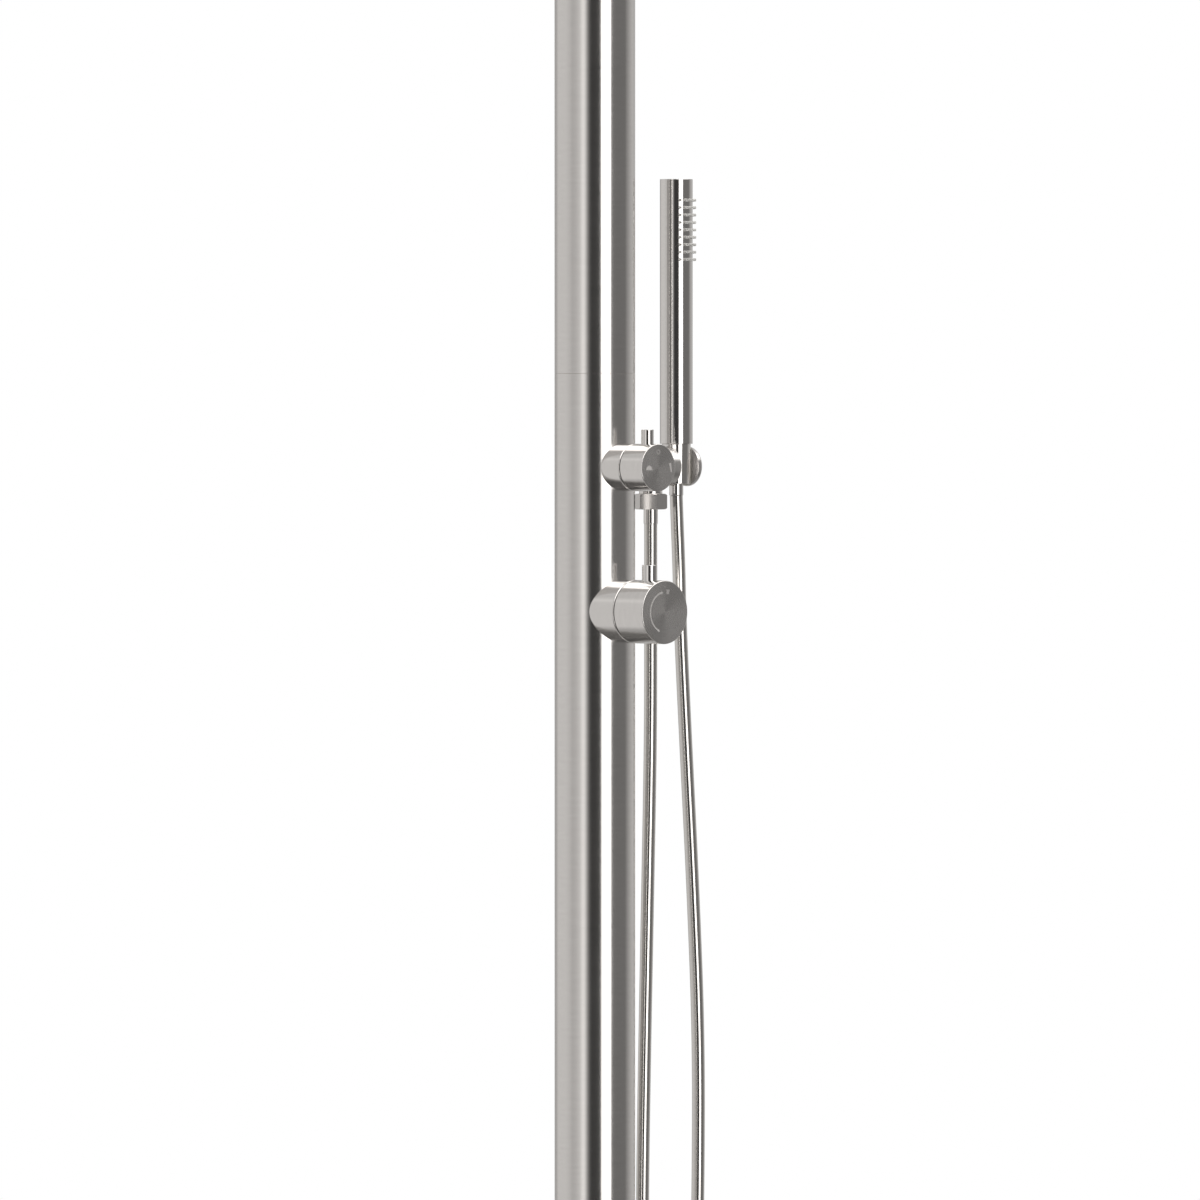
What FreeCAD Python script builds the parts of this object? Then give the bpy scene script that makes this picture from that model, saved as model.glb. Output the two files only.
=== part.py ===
"""Outdoor shower post: a tall steel column on a floor plate, with a mixer knob, a diverter
knob, a side bar that feeds and holds a stick handset on a hose, and an overhead rain head.

Millimetres. +Z is up, and the origin is the middle of the base plate's underside, on the
floor. The knobs and the rain arm face -Y (the bather's side); the side bar points to +X."""

import FreeCAD, Part

import math
import os

from FreeCAD import Vector

# ---------------------------------------------------------------- driving dimensions (mm)
# Column
COLUMN_DIAMETER = 60.3
COLUMN_WALL = 2.0
COLUMN_TOP = 2180.0
COLUMN_JOINT_RISE = 70.0  # above the diverter
JOINT_BEVEL = 0.25
SLEEVE_LENGTH = 90.0
SLEEVE_WALL = 2.5
SLEEVE_SCREW_DIAMETER = 5.0
SLEEVE_SCREW_SPACING = 50.0
CAP_THICKNESS = 3.0
CAP_SPIGOT = 8.0

# Base
BASE_PLATE_DIAMETER = 230.0
BASE_PLATE_THICKNESS = 12.0
ANCHOR_CIRCLE = 160.0
ANCHOR_HOLE_DIAMETER = 12.0
ANCHOR_COUNT = 4
SUPPLY_OPENING_DIAMETER = 52.0
COVER_MARGIN = 10.0
COVER_HEIGHT = 34.0
COVER_WALL = 1.5
COVER_EDGE_ROUND = 6.0
COVER_SEAL_WIDTH = 2.0
COVER_SEAL_HEIGHT = 5.0

# Pipes and fittings inside the column
PIPE_DIAMETER = 15.0
PIPE_WALL = 1.0
PIPE_SPACING = 26.4
PIPE_SEAT_DEPTH = 8.0
BOSS_WALL = 2.0
BOSS_REACH = 26.0
INLET_FLOOR_GAP = 2.0
INLET_DIAMETER = 24.0
INLET_LENGTH = 30.0
INLET_THREAD_DIAMETER = 18.6
INLET_THREAD_LENGTH = 16.0
SPACER_THICKNESS = 6.0
SUPPLY_SPACER_HEIGHT = 300.0
RISER_SPACER_HEIGHT = 1700.0

# What both valves share, measured along the knob's axis from the column's axis
STUB_END = 43.4
STUB_WALL = 2.5
KNOB_GAP = 1.5
KNOB_WALL = 3.0
KNOB_FACE = 5.0
KNOB_EDGE_ROUND = 1.0
HUB_WALL = 4.0
HUB_LENGTH = 16.0
BODY_BACK = 16.0
BODY_END = 41.5
POCKET_FLOOR = 15.0
CARTRIDGE_LENGTH = 21.5
CARTRIDGE_NECK_DIAMETER = 18.0
CARTRIDGE_NECK_LENGTH = 7.5
SPINDLE_DIAMETER = 8.0
SPINDLE_DEPTH = 14.0
TRIM_RING_RECESS = 1.2
TRIM_RING_THICKNESS = 1.0
GRIP_SHANK_DIAMETER = 5.0
GRIP_EDGE = 0.4

# Waterways drilled in the valve bodies, from the pocket's floor to the pipes' plane
CHANNEL_DIAMETER = 5.4
DIVERTER_CHANNEL_DIAMETER = 4.5
DIVERTER_CHANNEL_OFFSET = 7.5
DIVERTER_WAY_FLOOR = 5.5
SIDE_CHANNEL_DIAMETER = 3.6
SIDE_CHANNEL_OFFSET = 8.5
SIDE_WAY_START = 6.5
SIDE_BOSS_GAP = 2.0

# Mixer valve
MIXER_HEIGHT = 1000.0
MIXER_KNOB_DIAMETER = 47.3
MIXER_KNOB_END = 75.0
MIXER_CARTRIDGE_DIAMETER = 35.0
MIXER_GRIP_DIAMETER = 11.4
MIXER_GRIP_OFFSET = 58.7
MIXER_GRIP_TOP = 35.0

# Diverter valve
DIVERTER_RISE = 107.4  # above the mixer
DIVERTER_KNOB_DIAMETER = 35.3
DIVERTER_KNOB_END = 68.0
DIVERTER_CARTRIDGE_DIAMETER = 24.0
DIVERTER_GRIP_DIAMETER = 9.3
DIVERTER_GRIP_OFFSET = 56.4
DIVERTER_GRIP_TOP = 28.3

# Side bar: hose outlet and handset holder in one, level with the diverter
BAR_DIAMETER = 30.0
BAR_EDGE_ROUND = 2.6
BAR_END_CHEEK = 4.8
NIPPLE_DIAMETER = 13.0
NIPPLE_WALL = 2.0
NIPPLE_GRIP = 7.0
NIPPLE_BAR_GRIP = 12.0
HOLDER_OFFSET = 85.2
SLOT_WIDTH = 18.4
LINER_WALL = 0.8
LINER_INSET = 0.5

# Hose outlet under the bar
OUTLET_OFFSET = 58.3
OUTLET_COLLAR_DIAMETER = 17.6
OUTLET_COLLAR_HEIGHT = 5.4
OUTLET_THREAD_DIAMETER = 16.6
OUTLET_THREAD_LENGTH = 5.2
OUTLET_STEM_DIAMETER = 13.0
OUTLET_STEM_LENGTH = 7.0
HOSE_NUT_ACROSS_FLATS = 21.8
HOSE_NUT_TURN = 8.0  # degrees that its corners stand round from the bar's axis
HOSE_NUT_HEIGHT = 11.7
HOSE_NUT_FLOOR = 2.0
HOSE_NUT_BEVEL = 1.0
OUTLET_FERRULE_DIAMETER = 10.7
OUTLET_FERRULE_LENGTH = 11.0
FERRULE_FLANGE_THICKNESS = 1.5

# Hose, with its length left to the route further down
HOSE_DIAMETER = 9.8
HOSE_BORE = 6.4
ARC_SHARE = 0.45  # of the shorter run that an arc of the hose's way takes up

# Cone nut and handset
CONE_TOP_DIAMETER = 21.8
CONE_BOTTOM_DIAMETER = 20.2
CONE_ABOVE_BAR = 2.0
CONE_FLOOR = 2.0
CONE_THREAD_DIAMETER = 16.4
END_FERRULE_DIAMETER = 10.6
END_FERRULE_LENGTH = 9.0
END_FLANGE_DIAMETER = 15.0
END_FLANGE_THICKNESS = 2.0
SEAL_THICKNESS = 1.8
HANDSET_DIAMETER = 24.7
HANDSET_WALL = 1.35
HANDSET_LENGTH = 199.2
HANDSET_PLUG_HEIGHT = 6.0
NOZZLE_ROWS = 9
NOZZLE_PITCH = 5.58
NOZZLE_ANGLES = (-40.0, -13.3, 13.3, 40.0)
NOZZLE_DIAMETER = 2.0
NOZZLE_STANDOUT = 2.2
TOP_NOZZLE_DROP = 15.9
NOZZLE_STRIP_THICKNESS = 1.1
NOZZLE_STRIP_MARGIN = 4.5

# Rain arm and rain head
ARM_BELOW_TOP = 50.0
ARM_REACH = 370.0
ARM_DIAMETER = 22.0
ARM_WALL = 1.5
ARM_BEND_RADIUS = 45.0
ARM_DROP = 15.0
ARM_SEAT = 10.0
ARM_COLLAR_DIAMETER = 34.0
ARM_COLLAR_LENGTH = 8.0
ELBOW_WALL = 3.0
ELBOW_BACK = 16.0
ELBOW_FRONT = 24.0
BALL_DIAMETER = 18.0
BALL_NECK_DIAMETER = 10.0
BALL_COLLAR_HEIGHT = 8.0
BALL_DROP = 18.0
BALL_BORE = 5.0
BALL_SPIGOT = 12.0
FRICTION_RING_WALL = 1.8
FRICTION_RING_HEIGHT = 10.0
CUP_DIAMETER = 30.0
CUP_DEPTH = 14.0
CUP_FLANGE_DIAMETER = 40.0
CUP_FLANGE_THICKNESS = 3.0
BALL_NUT_WALL = 2.5
BALL_NUT_SKIRT = 9.0
BALL_NUT_CROWN = 9.0
BALL_NUT_OPENING = 17.6
HEAD_DIAMETER = 225.0
HEAD_THICKNESS = 8.0
HEAD_WALL = 1.5
HEAD_EDGE_ROUND = 1.4
HEAD_PLATE_THICKNESS = 1.5
MAT_THICKNESS = 1.5
MAT_MARGIN = 6.0
HEAD_NOZZLE_RINGS = 5
HEAD_NOZZLE_RING_PITCH = 18.5
HEAD_NOZZLE_DIAMETER = 2.6
HEAD_NOZZLE_STANDOUT = 2.0

# Clearances
SLIDE_FIT = 0.05
TURN_GAP = 0.3
WATERWAY = 9.0

# ---------------------------------------------------------------- worked-out places
COLUMN_RADIUS = COLUMN_DIAMETER / 2
COLUMN_BORE_RADIUS = COLUMN_RADIUS - COLUMN_WALL
PIPE_RADIUS = PIPE_DIAMETER / 2
PIPE_BORE_RADIUS = PIPE_RADIUS - PIPE_WALL
BOSS_RADIUS = PIPE_RADIUS + BOSS_WALL
BOSS_SHOULDER = BOSS_REACH - PIPE_SEAT_DEPTH
DIVERTER_HEIGHT = MIXER_HEIGHT + DIVERTER_RISE
COLUMN_JOINT_HEIGHT = DIVERTER_HEIGHT + COLUMN_JOINT_RISE
ARM_HEIGHT = COLUMN_TOP - ARM_BELOW_TOP
BAR_RADIUS = BAR_DIAMETER / 2
BAR_BOTTOM = DIVERTER_HEIGHT - BAR_RADIUS
BAR_END = HOLDER_OFFSET + SLOT_WIDTH / 2 + BAR_END_CHEEK
INLET_BOTTOM = BASE_PLATE_THICKNESS + INLET_FLOOR_GAP
INLET_TOP = INLET_BOTTOM + INLET_LENGTH
HOSE_NUT_TOP = BAR_BOTTOM - OUTLET_COLLAR_HEIGHT
HOSE_NUT_BOTTOM = HOSE_NUT_TOP - HOSE_NUT_HEIGHT
OUTLET_FERRULE_BOTTOM = HOSE_NUT_BOTTOM - OUTLET_FERRULE_LENGTH
CONE_TOP = DIVERTER_HEIGHT + BAR_RADIUS + CONE_ABOVE_BAR
CONE_BOTTOM = BAR_BOTTOM + CONE_ABOVE_BAR
END_FERRULE_BOTTOM = CONE_BOTTOM - END_FERRULE_LENGTH
HANDSET_TOP = CONE_TOP + HANDSET_LENGTH
BALL_CENTRE_HEIGHT = ARM_HEIGHT - ARM_BEND_RADIUS - ARM_DROP - BALL_COLLAR_HEIGHT - BALL_DROP
BALL_CENTRE = Vector(0, -ARM_REACH, BALL_CENTRE_HEIGHT)
HEAD_TOP = BALL_CENTRE_HEIGHT - CUP_DEPTH - CUP_FLANGE_THICKNESS

UP = Vector(0, 0, 1)
FRONT = Vector(0, -1, 0)
SIDE = Vector(1, 0, 0)

# The hose's way between its two ferrules: it hangs in one loop, its legs bowing apart. Points
# chosen by hand: X, Y and the drop below the bar's axis.
HOSE_LOOP = (
    (OUTLET_OFFSET, 0.0, 104.0),
    (57.3, -1.0, 203.0),
    (52.3, -3.0, 318.0),
    (47.1, -4.9, 443.0),
    (43.0, -6.6, 558.0),
    (42.4, -7.6, 655.0),
    (43.0, -7.7, 718.0),
    (60.2, -0.9, 745.0),
    (88.6, 10.3, 755.3),
    (117.0, 21.5, 745.0),
    (134.3, 28.4, 718.0),
    (133.2, 28.2, 655.0),
    (131.7, 23.6, 553.0),
    (124.8, 16.0, 433.0),
    (111.1, 8.7, 313.0),
    (97.6, 2.8, 203.0),
    (89.1, -0.1, 116.0),
    (87.4, 0.0, 74.0),
    (HOLDER_OFFSET, 0.0, 36.0),
)


# ---------------------------------------------------------------- shape helpers
def rod(radius, start, direction, length):
    """A solid cylinder from start along direction."""
    return Part.makeCylinder(radius, length, Vector(*start), direction)


def post(radius, low, high, x=0.0, y=0.0):
    """An upright cylinder between two heights."""
    return rod(radius, (x, y, low), UP, high - low)


def ring(outer, inner, low, high, x=0.0, y=0.0):
    """An upright tube between two heights."""
    return post(outer, low, high, x, y).cut(post(inner, low, high, x, y))


def front_rod(radius, near, far, height):
    """A cylinder on a valve's axis, between two distances in front of the column's axis."""
    return rod(radius, (0, -near, height), FRONT, far - near)


def front_ring(outer, inner, near, far, height):
    return front_rod(outer, near, far, height).cut(front_rod(inner, near, far, height))


def block(low, high):
    """A box between its lowest and highest corners."""
    size = [b - a for a, b in zip(low, high)]
    return Part.makeBox(size[0], size[1], size[2], Vector(*low))


def turned(outline, centre_x=0.0, centre_y=0.0):
    """A lathe shape about a vertical axis from (radius, height) corners."""
    corners = [Vector(centre_x + radius, centre_y, height) for radius, height in outline]
    face = Part.Face(Part.makePolygon(corners + corners[:1]))
    return face.revolve(Vector(centre_x, centre_y, 0), UP, 360)


def column_outside():
    """The space that the column takes, for saddle cuts."""
    return post(COLUMN_RADIUS, 0.0, COLUMN_TOP)


def edges_on_plane(shape, axis, value):
    """Circular edges that lie in one plane across axis ('x', 'y' or 'z')."""
    found = []
    for edge in shape.Edges:
        places = [getattr(v.Point, axis) for v in edge.Vertexes]
        if edge.Closed and all(abs(place - value) < 1e-6 for place in places):
            found.append(edge)
    return found


def widest(edges):
    return max(edges, key=lambda edge: edge.Length)


def save(name, *solids):
    """Write one node: a single solid, or a group of alike ones."""
    shape = solids[0] if len(solids) == 1 else Part.Compound(list(solids))
    assert shape.isValid(), name
    assert len(shape.Solids) == len(solids), (name, len(shape.Solids))
    shape.exportStep(f"parts/{name}.step")
    return shape


# ---------------------------------------------------------------- base
def base_plate():
    plate = ring(BASE_PLATE_DIAMETER / 2, SUPPLY_OPENING_DIAMETER / 2, 0.0, BASE_PLATE_THICKNESS)
    for place in range(ANCHOR_COUNT):
        angle = math.radians((place + 0.5) * 360 / ANCHOR_COUNT)
        x, y = (ANCHOR_CIRCLE / 2 * f(angle) for f in (math.cos, math.sin))
        plate = plate.cut(post(ANCHOR_HOLE_DIAMETER / 2, 0.0, BASE_PLATE_THICKNESS, x, y))
    return plate


def base_cover():
    """A pressed cover over plate and anchor nuts, open underneath, with a seal at the column."""
    outside = BASE_PLATE_DIAMETER / 2 + COVER_MARGIN
    hole = COLUMN_RADIUS + COVER_SEAL_WIDTH
    shell = post(outside, 0.0, COVER_HEIGHT)
    shell = shell.makeFillet(COVER_EDGE_ROUND, [widest(edges_on_plane(shell, "z", COVER_HEIGHT))])
    inside_round = COVER_EDGE_ROUND - COVER_WALL
    hollow = post(outside - COVER_WALL, 0.0, COVER_HEIGHT - COVER_WALL)
    rim = widest(edges_on_plane(hollow, "z", COVER_HEIGHT - COVER_WALL))
    hollow = hollow.makeFillet(inside_round, [rim])
    return shell.cut(hollow).cut(post(hole, 0.0, COVER_HEIGHT))


def cover_seal():
    low = COVER_HEIGHT - COVER_WALL
    lip = ring(COLUMN_RADIUS + 2 * COVER_SEAL_WIDTH, COLUMN_RADIUS, low - COVER_SEAL_HEIGHT, low)
    neck = ring(COLUMN_RADIUS + COVER_SEAL_WIDTH, COLUMN_RADIUS, low, COVER_HEIGHT)
    return lip.fuse(neck).removeSplitter()


# ---------------------------------------------------------------- column
def column_tube(low, high):
    return ring(COLUMN_RADIUS, COLUMN_BORE_RADIUS, low, high)


def bevel_outer_edge(tube, height):
    return tube.makeChamfer(JOINT_BEVEL, [widest(edges_on_plane(tube, "z", height))])


def stub_bore(knob_diameter):
    return knob_diameter / 2 - STUB_WALL


def sleeve_screw_places():
    return [COLUMN_JOINT_HEIGHT + side * SLEEVE_SCREW_SPACING / 2 for side in (-1, 1)]


def sleeve_screw_hole(height):
    radius = SLEEVE_SCREW_DIAMETER / 2 + SLIDE_FIT
    return rod(radius, (0, COLUMN_BORE_RADIUS - 2 * SLEEVE_WALL, height), -FRONT, COLUMN_RADIUS)


def lower_column():
    tube = column_tube(BASE_PLATE_THICKNESS, COLUMN_JOINT_HEIGHT)
    tube = bevel_outer_edge(tube, COLUMN_JOINT_HEIGHT)
    for height, knob in (
        (MIXER_HEIGHT, MIXER_KNOB_DIAMETER),
        (DIVERTER_HEIGHT, DIVERTER_KNOB_DIAMETER),
    ):
        tube = tube.cut(front_rod(stub_bore(knob), 0.0, COLUMN_DIAMETER, height))
    nipple_hole = NIPPLE_DIAMETER / 2 + SLIDE_FIT
    tube = tube.cut(rod(nipple_hole, (0, 0, DIVERTER_HEIGHT), SIDE, COLUMN_DIAMETER))
    return tube.cut(sleeve_screw_hole(sleeve_screw_places()[0]))


def upper_column():
    tube = column_tube(COLUMN_JOINT_HEIGHT, COLUMN_TOP)
    tube = bevel_outer_edge(tube, COLUMN_JOINT_HEIGHT)
    arm_hole = ARM_DIAMETER / 2 + SLIDE_FIT
    tube = tube.cut(front_rod(arm_hole, 0.0, COLUMN_DIAMETER, ARM_HEIGHT))
    return tube.cut(sleeve_screw_hole(sleeve_screw_places()[1]))


def column_sleeve():
    """The spigot inside the joint that lines the two column tubes up."""
    outside = COLUMN_BORE_RADIUS - SLIDE_FIT
    low = COLUMN_JOINT_HEIGHT - SLEEVE_LENGTH / 2
    tube = ring(outside, outside - SLEEVE_WALL, low, low + SLEEVE_LENGTH)
    for height in sleeve_screw_places():
        tube = tube.cut(sleeve_screw_hole(height))
    return tube


def sleeve_screws():
    start = COLUMN_BORE_RADIUS - SLEEVE_WALL
    screws = []
    for height in sleeve_screw_places():
        screw = rod(SLEEVE_SCREW_DIAMETER / 2, (0, start, height), -FRONT, COLUMN_WALL + SLEEVE_WALL)
        socket = SLEEVE_SCREW_DIAMETER / 4
        screws.append(screw.cut(rod(socket, (0, start + SLEEVE_WALL, height), -FRONT, COLUMN_WALL)))
    return screws


def top_cap():
    disc = post(COLUMN_RADIUS, COLUMN_TOP, COLUMN_TOP + CAP_THICKNESS)
    rim = widest(edges_on_plane(disc, "z", COLUMN_TOP + CAP_THICKNESS))
    disc = disc.makeFillet(CAP_THICKNESS / 2, [rim])
    return disc.fuse(post(COLUMN_BORE_RADIUS - SLIDE_FIT, COLUMN_TOP - CAP_SPIGOT, COLUMN_TOP))


# ---------------------------------------------------------------- pipes inside the column
def supply_inlet(x):
    """A threaded socket under the supply pipe, reached through the base plate's opening."""
    seat = INLET_TOP - PIPE_SEAT_DEPTH
    socket = post(INLET_DIAMETER / 2, INLET_BOTTOM, INLET_TOP, x)
    socket = socket.cut(post(PIPE_BORE_RADIUS, INLET_BOTTOM, INLET_TOP, x))
    thread_top = INLET_BOTTOM + INLET_THREAD_LENGTH
    socket = socket.cut(post(INLET_THREAD_DIAMETER / 2, INLET_BOTTOM, thread_top, x))
    return socket.cut(post(PIPE_RADIUS + SLIDE_FIT, seat, INLET_TOP, x))


def pipe(low, high, x=0.0):
    return ring(PIPE_RADIUS, PIPE_BORE_RADIUS, low, high, x)


def pipe_spacer(height, places):
    """A disc that keeps the pipes off the column's wall."""
    disc = post(COLUMN_BORE_RADIUS - SLIDE_FIT, height, height + SPACER_THICKNESS)
    for x in places:
        disc = disc.cut(post(PIPE_RADIUS + SLIDE_FIT, height, height + SPACER_THICKNESS, x))
    return disc


def boss(height, direction, x=0.0):
    """A pipe boss on a fitting at height: direction 1 points up, -1 down."""
    ends = sorted((height, height + direction * BOSS_REACH))
    return post(BOSS_RADIUS, ends[0], ends[1], x)


def boss_ways(height, direction, floor, x=0.0):
    """The pipe seat and the waterway of a boss, down to floor above or below height."""
    seat = sorted(height + direction * reach for reach in (BOSS_SHOULDER, BOSS_REACH))
    way = sorted((height + direction * floor, height + direction * BOSS_REACH))
    drilled = post(PIPE_BORE_RADIUS, way[0], way[1], x)
    return drilled.fuse(post(PIPE_RADIUS + SLIDE_FIT, seat[0], seat[1], x))


def pipes():
    low = INLET_TOP - PIPE_SEAT_DEPTH
    supply_top = MIXER_HEIGHT - BOSS_SHOULDER
    half = PIPE_SPACING / 2
    for name, x in (("hot", -half), ("cold", half)):
        save(f"{name}_inlet", supply_inlet(x))
        save(f"{name}_pipe", pipe(low, supply_top, x))
    save("supply_spacer", pipe_spacer(SUPPLY_SPACER_HEIGHT, (-half, half)))
    save("link_pipe", pipe(MIXER_HEIGHT + BOSS_SHOULDER, DIVERTER_HEIGHT - BOSS_SHOULDER))
    save("riser_pipe", pipe(DIVERTER_HEIGHT + BOSS_SHOULDER, ARM_HEIGHT - BOSS_SHOULDER))
    save("riser_spacer", pipe_spacer(RISER_SPACER_HEIGHT, (0.0,)))


# ---------------------------------------------------------------- valves
def valve_shell(height, knob_diameter, cartridge_diameter):
    """The barrel of a valve body, with the pocket that its cartridge sits in."""
    barrel = front_rod(stub_bore(knob_diameter) - SLIDE_FIT, -BODY_BACK, BODY_END, height)
    pocket = front_rod(cartridge_diameter / 2 + SLIDE_FIT, POCKET_FLOOR, BODY_END, height)
    return barrel, pocket


def channel(x, height, radius):
    """A drilled way from the pocket's floor back to the plane of the pipes."""
    return front_rod(radius, 0.0, POCKET_FLOOR, height).translated(Vector(x, 0, 0))


def mixer_body():
    shell, pocket = valve_shell(MIXER_HEIGHT, MIXER_KNOB_DIAMETER, MIXER_CARTRIDGE_DIAMETER)
    half = PIPE_SPACING / 2
    way = WATERWAY / 2
    drill = CHANNEL_DIAMETER / 2
    solid = shell.fuse([boss(MIXER_HEIGHT, -1, x) for x in (-half, half)])
    solid = solid.fuse(boss(MIXER_HEIGHT, 1))
    solid = solid.cut(pocket)
    for x in (-half, half):
        solid = solid.cut(boss_ways(MIXER_HEIGHT, -1, way, x))
        toward_axis = x - math.copysign(PIPE_BORE_RADIUS / 2, x)
        solid = solid.cut(channel(toward_axis, MIXER_HEIGHT - BOSS_SHOULDER / 2, drill))
    solid = solid.cut(boss_ways(MIXER_HEIGHT, 1, way))
    return solid.cut(channel(0.0, MIXER_HEIGHT + BOSS_SHOULDER / 2, drill))


def diverter_body():
    shell, pocket = valve_shell(
        DIVERTER_HEIGHT, DIVERTER_KNOB_DIAMETER, DIVERTER_CARTRIDGE_DIAMETER
    )
    nipple_seat = COLUMN_BORE_RADIUS - NIPPLE_GRIP - TURN_GAP
    boss_length = COLUMN_BORE_RADIUS - SIDE_BOSS_GAP
    side_boss = rod(BOSS_RADIUS, (0, 0, DIVERTER_HEIGHT), SIDE, boss_length)
    solid = shell.fuse([boss(DIVERTER_HEIGHT, 1), boss(DIVERTER_HEIGHT, -1), side_boss])
    solid = solid.cut(pocket)
    for direction in (-1, 1):
        solid = solid.cut(boss_ways(DIVERTER_HEIGHT, direction, DIVERTER_WAY_FLOOR))
        height = DIVERTER_HEIGHT + direction * DIVERTER_CHANNEL_OFFSET
        solid = solid.cut(channel(0.0, height, DIVERTER_CHANNEL_DIAMETER / 2))
    start = (SIDE_WAY_START, 0, DIVERTER_HEIGHT)
    solid = solid.cut(rod(CHANNEL_DIAMETER / 2, start, SIDE, COLUMN_BORE_RADIUS))
    seat = (nipple_seat, 0, DIVERTER_HEIGHT)
    solid = solid.cut(rod(NIPPLE_DIAMETER / 2 + SLIDE_FIT, seat, SIDE, COLUMN_BORE_RADIUS))
    return solid.cut(channel(SIDE_CHANNEL_OFFSET, DIVERTER_HEIGHT, SIDE_CHANNEL_DIAMETER / 2))


def valve_stub(height, knob_diameter):
    """The sleeve welded on the column's front, which the valve body sits in."""
    sleeve = front_ring(knob_diameter / 2, stub_bore(knob_diameter), 0.0, STUB_END, height)
    return sleeve.cut(column_outside())


def cartridge(height, diameter):
    """A ceramic cartridge: a drum with a neck that its spindle turns in."""
    shoulder = POCKET_FLOOR + CARTRIDGE_LENGTH
    drum = front_rod(diameter / 2, POCKET_FLOOR, shoulder, height)
    neck_end = shoulder + CARTRIDGE_NECK_LENGTH
    neck = front_rod(CARTRIDGE_NECK_DIAMETER / 2, shoulder, neck_end, height)
    hole_floor = neck_end - SPINDLE_DEPTH - TURN_GAP
    hole = front_rod(SPINDLE_DIAMETER / 2 + TURN_GAP, hole_floor, neck_end, height)
    return drum.fuse(neck).cut(hole)


def cartridge_ring(height, diameter):
    """The threaded ring that holds the cartridge in its pocket."""
    inner = CARTRIDGE_NECK_DIAMETER / 2 + SLIDE_FIT
    return front_ring(diameter / 2, inner, POCKET_FLOOR + CARTRIDGE_LENGTH, BODY_END, height)


def trim_ring(height, knob_diameter):
    """The recessed ring that shows as a dark line between stub and knob."""
    inner = CARTRIDGE_NECK_DIAMETER / 2 + SLIDE_FIT
    spigot = front_ring(stub_bore(knob_diameter) - SLIDE_FIT, inner, BODY_END, STUB_END, height)
    flange_radius = knob_diameter / 2 - TRIM_RING_RECESS
    flange_end = STUB_END + TRIM_RING_THICKNESS
    return spigot.fuse(front_ring(flange_radius, inner, STUB_END, flange_end, height))


def spindle(height, knob_end):
    start = POCKET_FLOOR + CARTRIDGE_LENGTH + CARTRIDGE_NECK_LENGTH - SPINDLE_DEPTH
    return front_rod(SPINDLE_DIAMETER / 2, start, knob_end - KNOB_FACE, height)


def knob(height, diameter, end, grip_offset):
    """A hollow turned knob with a hub for the spindle and a hole for the grip's shank."""
    start = STUB_END + KNOB_GAP
    inner_face = end - KNOB_FACE
    drum = front_rod(diameter / 2, start, end, height)
    drum = drum.makeFillet(KNOB_EDGE_ROUND, edges_on_plane(drum, "y", -end))
    hollow = front_rod(diameter / 2 - KNOB_WALL, start, inner_face, height)
    hub_radius = SPINDLE_DIAMETER / 2 + HUB_WALL
    hub = front_rod(hub_radius, inner_face - HUB_LENGTH, inner_face, height)
    shape = drum.cut(hollow.cut(hub))
    bore = front_rod(SPINDLE_DIAMETER / 2 + SLIDE_FIT, start, inner_face, height)
    shank_hole = post(GRIP_SHANK_DIAMETER / 2 + SLIDE_FIT, height, height + diameter, y=-grip_offset)
    return shape.cut(bore).cut(shank_hole)


def grip(height, knob_diameter, diameter, offset, top):
    """The round pin on top of a knob, screwed down to the spindle."""
    pin = post(diameter / 2, height, height + top, y=-offset)
    pin = pin.makeChamfer(GRIP_EDGE, edges_on_plane(pin, "z", height + top))
    pin = pin.cut(front_rod(knob_diameter / 2, 0.0, 2 * offset, height))
    shank_low = height + SPINDLE_DIAMETER / 2 + TURN_GAP
    shank = post(GRIP_SHANK_DIAMETER / 2, shank_low, height + top - GRIP_EDGE, y=-offset)
    return pin.fuse(shank).removeSplitter()


def valve(name, height, knob_diameter, knob_end, cartridge_diameter, grip_sizes):
    grip_diameter, grip_offset, grip_top = grip_sizes
    save(f"{name}_stub", valve_stub(height, knob_diameter))
    save(f"{name}_cartridge", cartridge(height, cartridge_diameter))
    save(f"{name}_cartridge_ring", cartridge_ring(height, cartridge_diameter))
    save(f"{name}_trim_ring", trim_ring(height, knob_diameter))
    save(f"{name}_spindle", spindle(height, knob_end))
    save(f"{name}_knob", knob(height, knob_diameter, knob_end, grip_offset))
    save(f"{name}_grip", grip(height, knob_diameter, grip_diameter, grip_offset, grip_top))


def valves():
    save("mixer_body", mixer_body())
    save("diverter_body", diverter_body())
    valve("mixer", MIXER_HEIGHT, MIXER_KNOB_DIAMETER, MIXER_KNOB_END, MIXER_CARTRIDGE_DIAMETER,
          (MIXER_GRIP_DIAMETER, MIXER_GRIP_OFFSET, MIXER_GRIP_TOP))
    valve("diverter", DIVERTER_HEIGHT, DIVERTER_KNOB_DIAMETER, DIVERTER_KNOB_END,
          DIVERTER_CARTRIDGE_DIAMETER,
          (DIVERTER_GRIP_DIAMETER, DIVERTER_GRIP_OFFSET, DIVERTER_GRIP_TOP))


# ---------------------------------------------------------------- side bar and hose outlet
def cone(bottom_radius, top_radius):
    """A cone in the handset holder, over the bar's whole height and a little more."""
    length = CONE_TOP - CONE_BOTTOM
    slope = (top_radius - bottom_radius) / length
    low, high = BAR_BOTTOM - CONE_ABOVE_BAR, CONE_TOP
    low_radius = bottom_radius + slope * (low - CONE_BOTTOM)
    return Part.makeCone(low_radius, top_radius, high - low, Vector(HOLDER_OFFSET, 0, low))


def holder_cone(extra):
    return cone(CONE_BOTTOM_DIAMETER / 2 + extra, CONE_TOP_DIAMETER / 2 + extra)


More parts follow.
